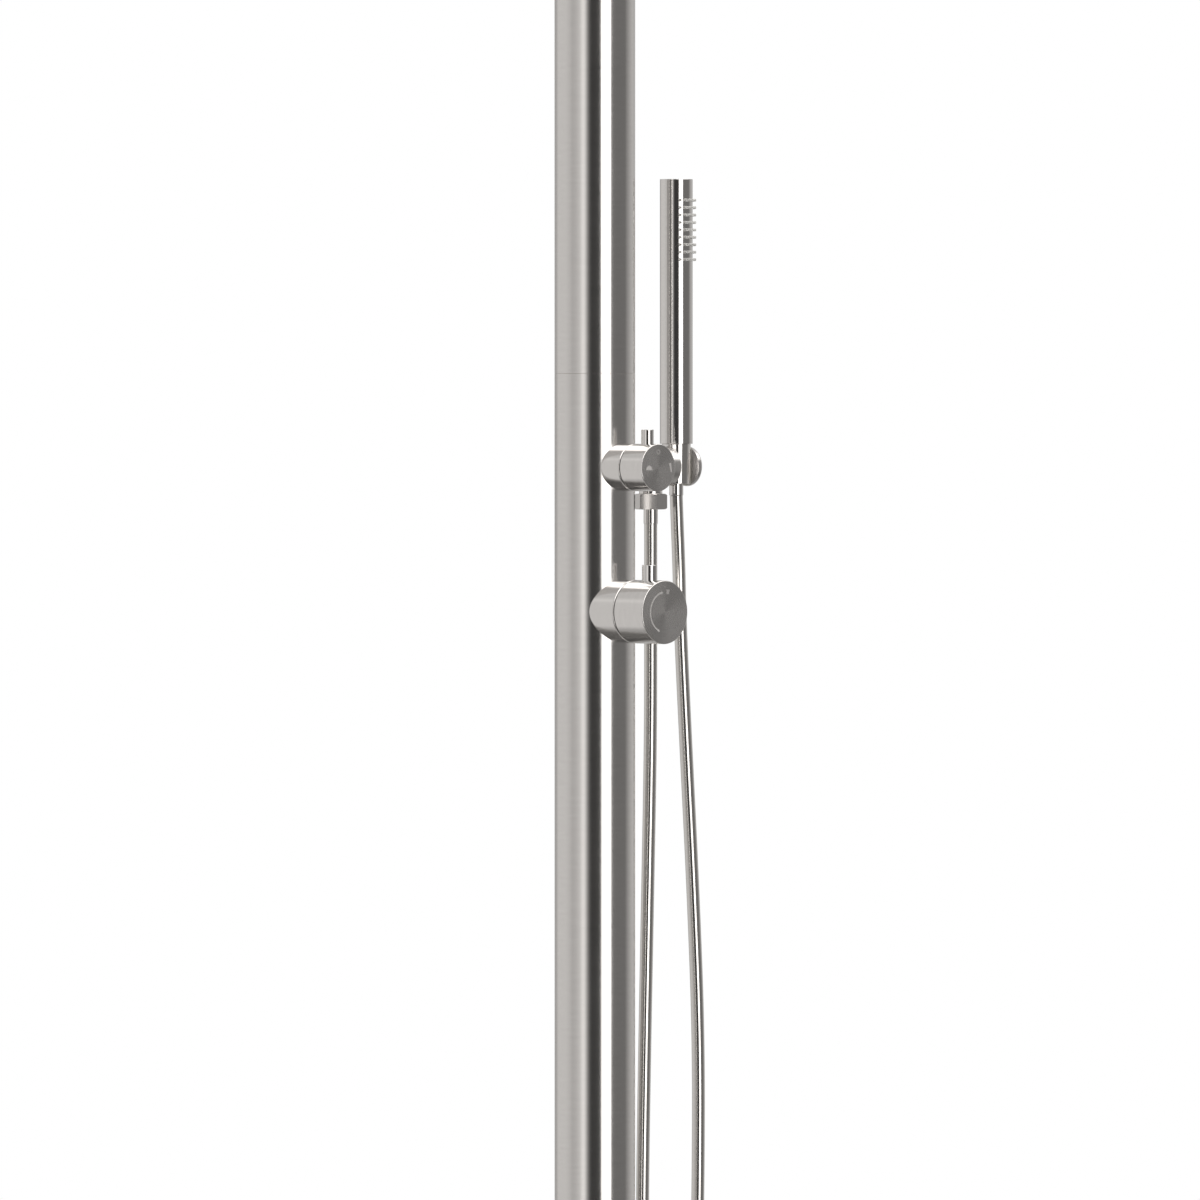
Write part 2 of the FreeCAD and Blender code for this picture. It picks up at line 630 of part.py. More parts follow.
def holder_slot(width):
    """The gap in the holder's front that the hose passes through."""
    half = width / 2
    return block(
        (HOLDER_OFFSET - half, -BAR_DIAMETER, BAR_BOTTOM - BAR_RADIUS),
        (HOLDER_OFFSET + half, 0.0, DIVERTER_HEIGHT + BAR_DIAMETER),
    )


def side_bar():
    bar = rod(BAR_RADIUS, (0, 0, DIVERTER_HEIGHT), SIDE, BAR_END)
    bar = bar.makeFillet(BAR_EDGE_ROUND, edges_on_plane(bar, "x", BAR_END))
    bar = bar.cut(column_outside())
    bar = bar.cut(holder_cone(TURN_GAP + LINER_WALL + SLIDE_FIT)).cut(holder_slot(SLOT_WIDTH))
    seat_end = COLUMN_RADIUS + NIPPLE_BAR_GRIP
    start = (0, 0, DIVERTER_HEIGHT)
    bar = bar.cut(rod(NIPPLE_DIAMETER / 2 + SLIDE_FIT, start, SIDE, seat_end))
    bar = bar.cut(rod(WATERWAY / 2, start, SIDE, OUTLET_OFFSET))
    bar = bar.cut(post(WATERWAY / 2, BAR_BOTTOM, DIVERTER_HEIGHT, OUTLET_OFFSET))
    stem_top = BAR_BOTTOM + OUTLET_STEM_LENGTH
    stem_hole = OUTLET_STEM_DIAMETER / 2 + SLIDE_FIT
    return bar.cut(post(stem_hole, BAR_BOTTOM, stem_top, OUTLET_OFFSET))


def side_nipple():
    """The short pipe that brings water from the diverter to the bar and holds the bar on."""
    start = COLUMN_BORE_RADIUS - NIPPLE_GRIP - TURN_GAP
    length = COLUMN_RADIUS + NIPPLE_BAR_GRIP - start
    place = (start, 0, DIVERTER_HEIGHT)
    nipple = rod(NIPPLE_DIAMETER / 2, place, SIDE, length)
    return nipple.cut(rod(NIPPLE_DIAMETER / 2 - NIPPLE_WALL, place, SIDE, length))


def holder_liner():
    """A thin plastic lining in the holder, set back a little from the metal's edges."""
    lining = holder_cone(TURN_GAP + LINER_WALL).cut(holder_cone(TURN_GAP))
    inside_bar = rod(BAR_RADIUS - LINER_INSET, (0, 0, DIVERTER_HEIGHT), SIDE, BAR_END)
    return lining.common(inside_bar).cut(holder_slot(SLOT_WIDTH + 2 * LINER_INSET))


def outlet_nipple():
    thread_low = HOSE_NUT_TOP - OUTLET_THREAD_LENGTH
    stem = post(OUTLET_STEM_DIAMETER / 2, BAR_BOTTOM, BAR_BOTTOM + OUTLET_STEM_LENGTH, OUTLET_OFFSET)
    collar = post(OUTLET_COLLAR_DIAMETER / 2, HOSE_NUT_TOP, DIVERTER_HEIGHT, OUTLET_OFFSET)
    collar = collar.cut(rod(BAR_RADIUS, (0, 0, DIVERTER_HEIGHT), SIDE, BAR_END))
    thread = post(OUTLET_THREAD_DIAMETER / 2, thread_low, HOSE_NUT_TOP, OUTLET_OFFSET)
    solid = collar.fuse([stem, thread])
    way = post(WATERWAY / 2, thread_low, DIVERTER_HEIGHT, OUTLET_OFFSET)
    return solid.cut(way).removeSplitter()


def hose_nut():
    """The hexagon nut at the outlet, turned to where it came tight, its corners bevelled."""
    corner = HOSE_NUT_ACROSS_FLATS / math.sqrt(3)
    points = []
    for side in range(7):
        angle = math.radians(60 * side + HOSE_NUT_TURN)
        x = OUTLET_OFFSET + corner * math.cos(angle)
        points.append(Vector(x, corner * math.sin(angle), HOSE_NUT_BOTTOM))
    prism = Part.Face(Part.makePolygon(points)).extrude(UP * HOSE_NUT_HEIGHT)
    flat = HOSE_NUT_ACROSS_FLATS / 2
    envelope = turned(
        ((0.0, HOSE_NUT_BOTTOM), (flat, HOSE_NUT_BOTTOM), (corner, HOSE_NUT_BOTTOM + HOSE_NUT_BEVEL),
         (corner, HOSE_NUT_TOP - HOSE_NUT_BEVEL), (flat, HOSE_NUT_TOP), (0.0, HOSE_NUT_TOP)),
        OUTLET_OFFSET)
    thread = OUTLET_THREAD_DIAMETER / 2 + SLIDE_FIT
    nut = prism.common(envelope)
    nut = nut.cut(post(thread, HOSE_NUT_BOTTOM + HOSE_NUT_FLOOR, HOSE_NUT_TOP, OUTLET_OFFSET))
    hole = OUTLET_FERRULE_DIAMETER / 2 + SLIDE_FIT
    return nut.cut(post(hole, HOSE_NUT_BOTTOM, HOSE_NUT_TOP, OUTLET_OFFSET))


def outlet_ferrule():
    flange_low = HOSE_NUT_BOTTOM + HOSE_NUT_FLOOR
    flange_top = flange_low + FERRULE_FLANGE_THICKNESS
    stem = post(OUTLET_FERRULE_DIAMETER / 2, OUTLET_FERRULE_BOTTOM, flange_low, OUTLET_OFFSET)
    flange = post(OUTLET_THREAD_DIAMETER / 2, flange_low, flange_top, OUTLET_OFFSET)
    way = post(HOSE_BORE / 2, OUTLET_FERRULE_BOTTOM, flange_top, OUTLET_OFFSET)
    return stem.fuse(flange).cut(way)


def outlet_seal():
    low = HOSE_NUT_BOTTOM + HOSE_NUT_FLOOR + FERRULE_FLANGE_THICKNESS
    high = HOSE_NUT_TOP - OUTLET_THREAD_LENGTH
    return ring(OUTLET_THREAD_DIAMETER / 2, HOSE_BORE / 2, low, high, OUTLET_OFFSET)


def side_parts():
    save("side_bar", side_bar())
    save("side_nipple", side_nipple())
    save("holder_liner", holder_liner())
    save("outlet_nipple", outlet_nipple())
    save("hose_nut", hose_nut())
    save("outlet_ferrule", outlet_ferrule())
    save("outlet_seal", outlet_seal())


# ---------------------------------------------------------------- hose
def hose_path(points):
    """Straight runs joined by tangent arcs, each as large as its two runs allow."""
    edges, radii = [], []
    start = points[0]
    for before, corner, after in zip(points, points[1:], points[2:]):
        back, onward = (before - corner), (after - corner)
        reach = ARC_SHARE * min(back.Length, onward.Length)
        turn = math.pi - back.getAngle(onward)
        radii.append(reach / math.tan(turn / 2))
        back.normalize()
        onward.normalize()
        first, last = corner + back * reach, corner + onward * reach
        middle_way = (back + onward).normalize()
        to_middle = radii[-1] / math.cos(turn / 2) - radii[-1]
        edges.append(Part.LineSegment(start, first).toShape())
        edges.append(Part.Arc(first, corner + middle_way * to_middle, last).toShape())
        start = last
    edges.append(Part.LineSegment(start, points[-1]).toShape())
    return Part.Wire(edges), radii


def hose():
    start = Vector(OUTLET_OFFSET, 0, OUTLET_FERRULE_BOTTOM)
    end = Vector(HOLDER_OFFSET, 0, END_FERRULE_BOTTOM)
    loop = [Vector(x, y, DIVERTER_HEIGHT - drop) for x, y, drop in HOSE_LOOP]
    path, radii = hose_path([start, *loop, end])
    along = (loop[0] - start).normalize()
    section = Part.Wire(Part.makeCircle(HOSE_DIAMETER / 2, start, along))
    tube = path.makePipeShell([section], True, False)
    expected = math.pi * HOSE_DIAMETER ** 2 / 4 * path.Length
    print("hose length", round(path.Length, 1), "volume ratio", round(tube.Volume / expected, 4))
    print("hose radii", [round(radius) for radius in radii])
    return tube


# ---------------------------------------------------------------- hose end and handset
def hose_end_ferrule():
    """The hose's end inside the cone nut, which turns about it."""
    flange_low = CONE_BOTTOM + CONE_FLOOR + TURN_GAP
    flange_top = flange_low + END_FLANGE_THICKNESS
    stem = post(END_FERRULE_DIAMETER / 2, END_FERRULE_BOTTOM, flange_low, HOLDER_OFFSET)
    flange = post(END_FLANGE_DIAMETER / 2, flange_low, flange_top, HOLDER_OFFSET)
    way = post(HOSE_BORE / 2, END_FERRULE_BOTTOM, flange_top, HOLDER_OFFSET)
    return stem.fuse(flange).cut(way)


def end_seal_low():
    return CONE_BOTTOM + CONE_FLOOR + END_FLANGE_THICKNESS + 2 * TURN_GAP


def cone_nut():
    solid = Part.makeCone(CONE_BOTTOM_DIAMETER / 2, CONE_TOP_DIAMETER / 2,
                          CONE_TOP - CONE_BOTTOM, Vector(HOLDER_OFFSET, 0, CONE_BOTTOM))
    thread = CONE_THREAD_DIAMETER / 2
    solid = solid.cut(post(thread, CONE_BOTTOM + CONE_FLOOR, CONE_TOP, HOLDER_OFFSET))
    hole = END_FERRULE_DIAMETER / 2 + TURN_GAP
    return solid.cut(post(hole, CONE_BOTTOM, CONE_TOP, HOLDER_OFFSET))


def handset_seal():
    low = end_seal_low()
    outer = CONE_THREAD_DIAMETER / 2 - SLIDE_FIT
    return ring(outer, HOSE_BORE / 2, low, low + SEAL_THICKNESS, HOLDER_OFFSET)


def handset_bore():
    return HANDSET_DIAMETER / 2 - HANDSET_WALL


def handset_inlet():
    """The threaded nipple that closes the handset's lower end and screws into the cone nut."""
    low = end_seal_low() + SEAL_THICKNESS
    plug_radius = handset_bore() - SLIDE_FIT
    plug = post(plug_radius, CONE_TOP, CONE_TOP + HANDSET_PLUG_HEIGHT, HOLDER_OFFSET)
    nipple = post(CONE_THREAD_DIAMETER / 2 - SLIDE_FIT, low, CONE_TOP, HOLDER_OFFSET)
    way = post(HOSE_BORE / 2, low, CONE_TOP + HANDSET_PLUG_HEIGHT, HOLDER_OFFSET)
    return plug.fuse(nipple).cut(way)


def nozzle_pin(radius, angle, height, start, length):
    """A short radial pin of the handset; angle 0 points to the front."""
    turn = math.radians(angle)
    outward = Vector(math.sin(turn), -math.cos(turn), 0)
    place = Vector(HOLDER_OFFSET, 0, height) + outward * start
    return rod(radius, place, outward, length)


def nozzle_places():
    top = HANDSET_TOP - TOP_NOZZLE_DROP
    heights = [top - row * NOZZLE_PITCH for row in range(NOZZLE_ROWS)]
    return [(angle, height) for height in heights for angle in NOZZLE_ANGLES]


def handset_tube():
    tube = ring(HANDSET_DIAMETER / 2, handset_bore(), CONE_TOP, HANDSET_TOP, HOLDER_OFFSET)
    hole = NOZZLE_DIAMETER / 2 + SLIDE_FIT
    start = handset_bore() - NOZZLE_STRIP_THICKNESS
    for angle, height in nozzle_places():
        tube = tube.cut(nozzle_pin(hole, angle, height, start, HANDSET_DIAMETER / 2))
    return tube


def handset_nozzles():
    """Soft nozzles on a curved strip behind the handset's wall."""
    outer = handset_bore() - SLIDE_FIT
    top = HANDSET_TOP - TOP_NOZZLE_DROP + NOZZLE_STRIP_MARGIN
    low = top - (NOZZLE_ROWS - 1) * NOZZLE_PITCH - 2 * NOZZLE_STRIP_MARGIN
    strip = ring(outer, outer - NOZZLE_STRIP_THICKNESS, low, top, HOLDER_OFFSET)
    reach = math.radians(NOZZLE_ANGLES[-1]) + NOZZLE_DIAMETER / outer
    front = -outer * math.cos(reach)
    strip = strip.common(block((0, -HANDSET_DIAMETER, low), (2 * HOLDER_OFFSET, front, top)))
    start = outer - NOZZLE_STRIP_THICKNESS / 2
    length = HANDSET_DIAMETER / 2 + NOZZLE_STANDOUT - start
    pins = [nozzle_pin(NOZZLE_DIAMETER / 2, angle, height, start, length)
            for angle, height in nozzle_places()]
    return strip.fuse(pins)


def handset_cap():
    radius = handset_bore() - SLIDE_FIT
    return post(radius, HANDSET_TOP - HANDSET_PLUG_HEIGHT, HANDSET_TOP, HOLDER_OFFSET)


def handset_parts():
    save("hose", hose())
    save("hose_end_ferrule", hose_end_ferrule())
    save("cone_nut", cone_nut())
    save("handset_seal", handset_seal())
    save("handset_inlet", handset_inlet())
    save("handset_tube", handset_tube())
    save("handset_nozzles", handset_nozzles())
    save("handset_cap", handset_cap())


# ---------------------------------------------------------------- rain arm and head
def arm_elbow():
    """The fitting inside the column's top that turns the riser's water into the arm."""
    radius = ARM_DIAMETER / 2 + ELBOW_WALL
    solid = front_rod(radius, -ELBOW_BACK, ELBOW_FRONT, ARM_HEIGHT).fuse(boss(ARM_HEIGHT, -1))
    seat = front_rod(ARM_DIAMETER / 2 + SLIDE_FIT, ARM_SEAT, ELBOW_FRONT, ARM_HEIGHT)
    solid = solid.cut(seat).cut(front_rod(PIPE_BORE_RADIUS, 0.0, ARM_SEAT, ARM_HEIGHT))
    return solid.cut(boss_ways(ARM_HEIGHT, -1, 0.0))


def rain_arm():
    """A tube that leaves the column level and turns down at its end."""
    bend_start = Vector(0, -(ARM_REACH - ARM_BEND_RADIUS), ARM_HEIGHT)
    bend_end = Vector(0, -ARM_REACH, ARM_HEIGHT - ARM_BEND_RADIUS)
    half_turn = ARM_BEND_RADIUS * math.sqrt(0.5)
    bend_middle = bend_end + Vector(0, ARM_BEND_RADIUS - half_turn, half_turn)
    start = Vector(0, -ARM_SEAT, ARM_HEIGHT)
    path = Part.Wire([
        Part.LineSegment(start, bend_start).toShape(),
        Part.Arc(bend_start, bend_middle, bend_end).toShape(),
        Part.LineSegment(bend_end, bend_end - UP * ARM_DROP).toShape(),
    ])
    tubes = []
    for radius in (ARM_DIAMETER / 2, ARM_DIAMETER / 2 - ARM_WALL):
        section = Part.Wire(Part.makeCircle(radius, start, FRONT))
        tubes.append(path.makePipeShell([section], True, False))
    return tubes[0].cut(tubes[1])


def arm_collar():
    far = COLUMN_RADIUS + ARM_COLLAR_LENGTH
    inner = ARM_DIAMETER / 2 + SLIDE_FIT
    collar = front_rod(ARM_COLLAR_DIAMETER / 2, 0.0, far, ARM_HEIGHT)
    collar = collar.makeFillet(KNOB_EDGE_ROUND, edges_on_plane(collar, "y", -far))
    return collar.cut(front_rod(inner, 0.0, far, ARM_HEIGHT)).cut(column_outside())


def over_head(radius, low, high):
    """An upright cylinder on the rain head's axis, at heights above the ball's centre."""
    return post(radius, BALL_CENTRE_HEIGHT + low, BALL_CENTRE_HEIGHT + high, y=-ARM_REACH)


def ball(radius):
    return Part.makeSphere(radius, BALL_CENTRE)


def ball_stem():
    """The arm's end piece, with the ball that the rain head tilts on."""
    spigot_top = BALL_DROP + BALL_COLLAR_HEIGHT + BALL_SPIGOT
    spigot_radius = ARM_DIAMETER / 2 - ARM_WALL - SLIDE_FIT
    solid = over_head(ARM_DIAMETER / 2, BALL_DROP, BALL_DROP + BALL_COLLAR_HEIGHT)
    solid = solid.fuse([
        over_head(spigot_radius, BALL_DROP, spigot_top),
        over_head(BALL_NECK_DIAMETER / 2, 0.0, BALL_DROP),
        ball(BALL_DIAMETER / 2),
    ])
    return solid.cut(over_head(BALL_BORE / 2, -BALL_DIAMETER, spigot_top))


def seat_radius():
    """The sphere that the cup and the nut close round the friction ring."""
    return BALL_DIAMETER / 2 + FRICTION_RING_WALL + 2 * TURN_GAP


def friction_ring():
    inner = BALL_DIAMETER / 2 + TURN_GAP
    belt = ball(inner + FRICTION_RING_WALL).cut(ball(inner))
    half = FRICTION_RING_HEIGHT / 2
    return belt.common(over_head(CUP_DIAMETER, -half, half))


def head_cup():
    flange_low = -CUP_DEPTH - CUP_FLANGE_THICKNESS
    solid = over_head(CUP_DIAMETER / 2, -CUP_DEPTH, 0.0)
    solid = solid.fuse(over_head(CUP_FLANGE_DIAMETER / 2, flange_low, -CUP_DEPTH))
    solid = solid.cut(ball(seat_radius()))
    return solid.cut(over_head(WATERWAY / 2, flange_low, 0.0))


def ball_nut():
    inner = CUP_DIAMETER / 2 + SLIDE_FIT
    solid = over_head(inner + BALL_NUT_WALL, -BALL_NUT_SKIRT, BALL_NUT_CROWN)
    top = BALL_CENTRE_HEIGHT + BALL_NUT_CROWN
    solid = solid.makeFillet(KNOB_EDGE_ROUND, [widest(edges_on_plane(solid, "z", top))])
    solid = solid.cut(over_head(inner, -BALL_NUT_SKIRT, 0.0)).cut(ball(seat_radius()))
    return solid.cut(over_head(BALL_NUT_OPENING / 2, 0.0, BALL_NUT_CROWN))


def head_nozzle_places():
    """Rings of nozzles round one in the middle: 6 more in each ring."""
    places = [(0.0, 0.0)]
    for number in range(1, HEAD_NOZZLE_RINGS + 1):
        radius = number * HEAD_NOZZLE_RING_PITCH
        for step in range(6 * number):
            angle = math.radians(step * 60 / number)
            places.append((radius * math.cos(angle), radius * math.sin(angle)))
    return places


def head_shell():
    low = HEAD_TOP - HEAD_THICKNESS
    disc = post(HEAD_DIAMETER / 2, low, HEAD_TOP, y=-ARM_REACH)
    disc = disc.makeFillet(HEAD_EDGE_ROUND, [widest(edges_on_plane(disc, "z", HEAD_TOP))])
    hollow = post(HEAD_DIAMETER / 2 - HEAD_WALL, low, HEAD_TOP - HEAD_WALL, y=-ARM_REACH)
    return disc.cut(hollow).cut(post(WATERWAY / 2, low, HEAD_TOP, y=-ARM_REACH))


def head_plate():
    low = HEAD_TOP - HEAD_THICKNESS
    high = low + HEAD_PLATE_THICKNESS
    plate = post(HEAD_DIAMETER / 2 - HEAD_WALL - SLIDE_FIT, low, high, y=-ARM_REACH)
    hole = HEAD_NOZZLE_DIAMETER / 2 + SLIDE_FIT
    holes = [post(hole, low, high, x, y - ARM_REACH) for x, y in head_nozzle_places()]
    return plate.cut(Part.Compound(holes))


def head_nozzles():
    """A soft mat behind the head's face plate, with its nozzles through the plate."""
    face = HEAD_TOP - HEAD_THICKNESS
    mat_low = face + HEAD_PLATE_THICKNESS
    mat_radius = HEAD_DIAMETER / 2 - HEAD_WALL - MAT_MARGIN
    mat = post(mat_radius, mat_low, mat_low + MAT_THICKNESS, y=-ARM_REACH)
    low = face - HEAD_NOZZLE_STANDOUT
    radius = HEAD_NOZZLE_DIAMETER / 2
    pins = [post(radius, low, mat_low + MAT_THICKNESS / 2, x, y - ARM_REACH)
            for x, y in head_nozzle_places()]
    return mat.fuse(pins)


def rain_parts():
    save("arm_elbow", arm_elbow())
    save("rain_arm", rain_arm())
    save("arm_collar", arm_collar())
    save("ball_stem", ball_stem())
    save("friction_ring", friction_ring())
    save("head_cup", head_cup())
    save("ball_nut", ball_nut())
    save("head_shell", head_shell())
    save("head_plate", head_plate())
    save("head_nozzles", head_nozzles())


# ---------------------------------------------------------------- the whole post
def column_parts():
    save("base_plate", base_plate())
    save("base_cover", base_cover())
    save("cover_seal", cover_seal())
    save("lower_column", lower_column())
    save("upper_column", upper_column())
    save("column_sleeve", column_sleeve())
    save("sleeve_screws", *sleeve_screws())
    save("top_cap", top_cap())


os.makedirs("parts", exist_ok=True)
column_parts()
pipes()
valves()
side_parts()
handset_parts()
rain_parts()
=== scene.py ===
# %% [markdown]
# # An outdoor shower post in brushed steel
# The object is a tall steel column with two turned knobs, a side bar that holds a stick handset
# on a hanging hose, and a rain head on an arm. Nearly all of it is metal, so the picture is made
# of reflections: smooth meshes, a finish with a direction, and a studio worth mirroring.
# The mechanical model comes in as a fixed frame. Each piece that shows is built again on top of
# it, with rounder edges and finer curves, and rides on the frame's bodies.

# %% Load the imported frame
import math
from functools import partial

import bmesh
import bpy
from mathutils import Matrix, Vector


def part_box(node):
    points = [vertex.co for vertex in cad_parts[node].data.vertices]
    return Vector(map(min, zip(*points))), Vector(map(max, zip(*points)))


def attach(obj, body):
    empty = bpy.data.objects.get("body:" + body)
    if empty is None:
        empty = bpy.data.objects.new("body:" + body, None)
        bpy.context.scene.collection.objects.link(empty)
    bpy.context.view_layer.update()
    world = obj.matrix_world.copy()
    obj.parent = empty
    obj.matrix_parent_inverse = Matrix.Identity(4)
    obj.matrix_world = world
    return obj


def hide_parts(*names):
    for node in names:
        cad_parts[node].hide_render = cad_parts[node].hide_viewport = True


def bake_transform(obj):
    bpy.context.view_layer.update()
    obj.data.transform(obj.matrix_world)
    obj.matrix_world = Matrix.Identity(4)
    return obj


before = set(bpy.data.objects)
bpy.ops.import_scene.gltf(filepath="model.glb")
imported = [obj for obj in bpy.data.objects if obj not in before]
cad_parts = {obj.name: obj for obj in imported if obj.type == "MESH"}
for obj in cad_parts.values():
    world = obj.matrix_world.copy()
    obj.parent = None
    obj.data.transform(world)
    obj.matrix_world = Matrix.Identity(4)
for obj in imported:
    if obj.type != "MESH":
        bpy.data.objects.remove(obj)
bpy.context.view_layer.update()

MM = 0.001
UP = Vector((0, 0, 1))
scene = bpy.context.scene


def middle_of(node_name):
    low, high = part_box(node_name)
    return (low + high) / 2


# %% [markdown]
# ## Camera
# The picture was taken from the front left with a very long lens: upright edges stay parallel,
# and rounds look like true ellipses. An orthographic camera would draw it so too, but a
# perspective camera far away with a narrow field does nearly the same, and it is nearer to what
# the real lens did.

# %% Camera at the photograph's angle
CAMERA_AZIMUTH = math.radians(-44.0)
CAMERA_ELEVATION = math.radians(1.25)
CAMERA_DISTANCE = 8.0
FRAME_WIDTH = 897.6 * MM
FRAME_MIDDLE_HEIGHT = 1008.0 * MM
FRAME_MIDDLE_ASIDE = 3.84 * MM
SENSOR_WIDTH = 36.0
FARTHEST_SEEN = 100.0

to_right = Vector((math.cos(CAMERA_AZIMUTH), math.sin(CAMERA_AZIMUTH), 0))
to_camera = Vector((
    math.sin(CAMERA_AZIMUTH) * math.cos(CAMERA_ELEVATION),
    -math.cos(CAMERA_AZIMUTH) * math.cos(CAMERA_ELEVATION),
    math.sin(CAMERA_ELEVATION),
))
lens = bpy.data.cameras.new("photo_camera")
lens.sensor_width = SENSOR_WIDTH
lens.lens = SENSOR_WIDTH * CAMERA_DISTANCE / FRAME_WIDTH
lens.clip_end = FARTHEST_SEEN
camera = bpy.data.objects.new("photo_camera", lens)
scene.collection.objects.link(camera)
aim = to_right * FRAME_MIDDLE_ASIDE + UP * FRAME_MIDDLE_HEIGHT
camera.location = aim + to_camera * CAMERA_DISTANCE
camera.rotation_mode = "QUATERNION"
camera.rotation_quaternion = (-to_camera).to_track_quat("-Z", "Y")
scene.camera = camera
scene.view_settings.view_transform = "Standard"
print("lens", round(lens.lens), "mm at", CAMERA_DISTANCE, "m")

# %% [markdown]
# ## The hose's line
# A smooth silver shower hose, 1.5 m long and 9.8 mm thick. It leaves the nut under the bar
# straight down, hangs in one loop and comes back up to the handset's cone. A simulation could
# let it hang, but the picture shows where both legs run, so a NURBS curve that is drawn by
# given points gives its soft line. The tube itself is laid along that line further down.

# %% The hose's line
HOSE_DIAMETER = 9.8 * MM
CURVE_STEPS = 24
bar_middle = middle_of("side_bar")
outlet = middle_of("outlet_ferrule")
outlet.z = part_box("outlet_ferrule")[0].z
hose_end = middle_of("hose_end_ferrule")
hose_end.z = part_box("hose_end_ferrule")[0].z
# X, Y and the drop below the bar's axis, in metres
HOSE_LOOP = (
    (0.0583, 0.0, 0.104),
    (0.0573, -0.0010, 0.203),
    (0.0523, -0.0030, 0.318),
    (0.0471, -0.0049, 0.443),
    (0.0430, -0.0066, 0.558),
    (0.0424, -0.0076, 0.655),
    (0.0430, -0.0077, 0.718),
    (0.0602, -0.0009, 0.745),
    (0.0886, 0.0103, 0.7553),
    (0.1170, 0.0215, 0.745),
    (0.1343, 0.0284, 0.718),
    (0.1332, 0.0282, 0.655),
    (0.1317, 0.0236, 0.553),
    (0.1248, 0.0160, 0.433),
    (0.1111, 0.0087, 0.313),
    (0.0976, 0.0028, 0.203),
    (0.0891, -0.0001, 0.116),
    (0.0880, 0.0, 0.074),
    (0.0858, 0.0, 0.036),
)
hose_route = [outlet]
hose_route += [Vector((x, y, bar_middle.z - drop)) for x, y, drop in HOSE_LOOP]
hose_route += [hose_end]

hose_curve = bpy.data.curves.new("hose_line", "CURVE")
hose_curve.dimensions = "3D"
spline = hose_curve.splines.new("NURBS")
spline.points.add(len(hose_route) - 1)
for point, place in zip(spline.points, hose_route):
    point.co = (*place, 1.0)
spline.order_u = 3
spline.use_endpoint_u = True
spline.resolution_u = CURVE_STEPS
hose_line = bpy.data.objects.new("hose_line", hose_curve)
scene.collection.objects.link(hose_line)
bpy.context.view_layer.update()
sampled = bpy.data.meshes.new_from_object(hose_line)
hose_path = [v.co.copy() for v in sampled.vertices]
bpy.data.objects.remove(hose_line)
measured = sum((b - a).length for a, b in zip(hose_path, hose_path[1:]))
print("hose line", len(hose_path), "points,", round(measured, 3), "m")

# %% [markdown]
# ## Node trees in a few words
# The studio, the finishes and the nozzles are all node trees. Blender makes a node, sets its
# values and links it in separate steps. One function that does all three, and takes another
# node's output wherever it takes a number, keeps a tree as short as a formula.

# %% Shorthand for node trees
def feed(tree, made, inputs):
    """Sets a node's inputs, by name or number, to plain values or to other nodes' outputs."""
    for name, value in inputs.items():
        if isinstance(value, bpy.types.NodeSocket):
            tree.links.new(value, made.inputs[name])
        else:
            made.inputs[name].default_value = value


def node(tree, kind, inputs=None, **settings):
    """A new node with its settings and its inputs."""
    made = tree.nodes.new(kind)
    for name, value in settings.items():
        setattr(made, name, value)
    feed(tree, made, inputs or {})
    return made


def math_node(tree, operation, *values):
    """The result of a Math node on one to three values."""
    return node(tree, "ShaderNodeMath", dict(enumerate(values)), operation=operation).outputs[0]


def mixed(tree, share, first, second, blend="MIX"):
    """The result of a Mix node on two colours, which are its inputs 6 and 7."""
    values = {0: share, 6: first, 7: second}
    return node(tree, "ShaderNodeMix", values, data_type="RGBA", blend_type=blend).outputs[2]


def mixed_shader(tree, share, first, second):
    return node(tree, "ShaderNodeMixShader", {0: share, 1: first, 2: second}).outputs[0]


def stretched(tree, value, low, high, to_low=0.0, to_high=1.0, **settings):
    """A value's place between low and high, as a value from to_low to to_high."""
    values = {"Value": value, "From Min": low, "From Max": high, "To Min": to_low,
              "To Max": to_high}
    return node(tree, "ShaderNodeMapRange", values, **settings).outputs[0]


def ramp(tree, value, stops):
    """A Color Ramp of greys or colours at places from 0 to 1."""
    made = node(tree, "ShaderNodeValToRGB", {"Fac": value})
    elements = made.color_ramp.elements
    while len(elements) < len(stops):
        elements.new(0.5)
    for element, (place, shade) in zip(elements, stops):
        element.position = place
        element.color = (*shade, 1) if isinstance(shade, tuple) else (shade, shade, shade, 1)
    return made.outputs["Color"]


print("node shorthand ready")

# %% [markdown]
# ## The studio
# Polished metal shows nothing but its surroundings. The picture's column is a chart of them: a
# dark gap straight ahead, a soft grey panel to its left, a bright lamp to its right, and grey
# walls behind. Panels could be modelled round the object, but a world does it in one tree: a
# ramp round the horizon repeats that chart for every mirror on the object, a second ramp above
# it holds the large lamp that edges the tops of the rounds, and a third ends the lamps below.
# The camera itself sees plain white.

# %% What stands round the object
WALL_STRENGTH = 2.4
WALL_TINT = (1.0, 0.975, 0.955)
# Degrees to the right of the camera and brightness there; the camera stands at 0
WALLS = (
    (-180, 0.45), (-146, 0.42), (-130, 0.66), (-92, 0.66), (-76, 0.58), (-68, 0.50), (-56, 0.54),
    (-43, 0.68), (-37, 0.95), (-30, 0.95), (-26, 0.66), (-21, 0.30), (-16, 0.11), (-11, 0.045),
    (17, 0.045), (20, 2.4), (44, 2.4), (48, 0.17), (98, 0.18), (103, 0.26), (120, 0.44),
    (134, 0.53), (180, 0.45),
)
# Height as the sine of the elevation, and the share of the walls' light there
WALL_HEIGHTS = (
    (-1.0, 0.2), (-0.75, 0.3), (-0.64, 0.7), (-0.57, 1.0), (0.36, 1.0), (0.47, 1.2), (1.0, 1.2),
)
# Above the walls, by the same degrees, a large lamp stands on the right
UPPER = (
    (-180, 0.6), (-20, 0.6), (-8, 0.7), (8, 2.4), (118, 2.4), (124, 0.6), (180, 0.6),
)
UPPER_FROM, UPPER_FULL = 0.44, 0.56
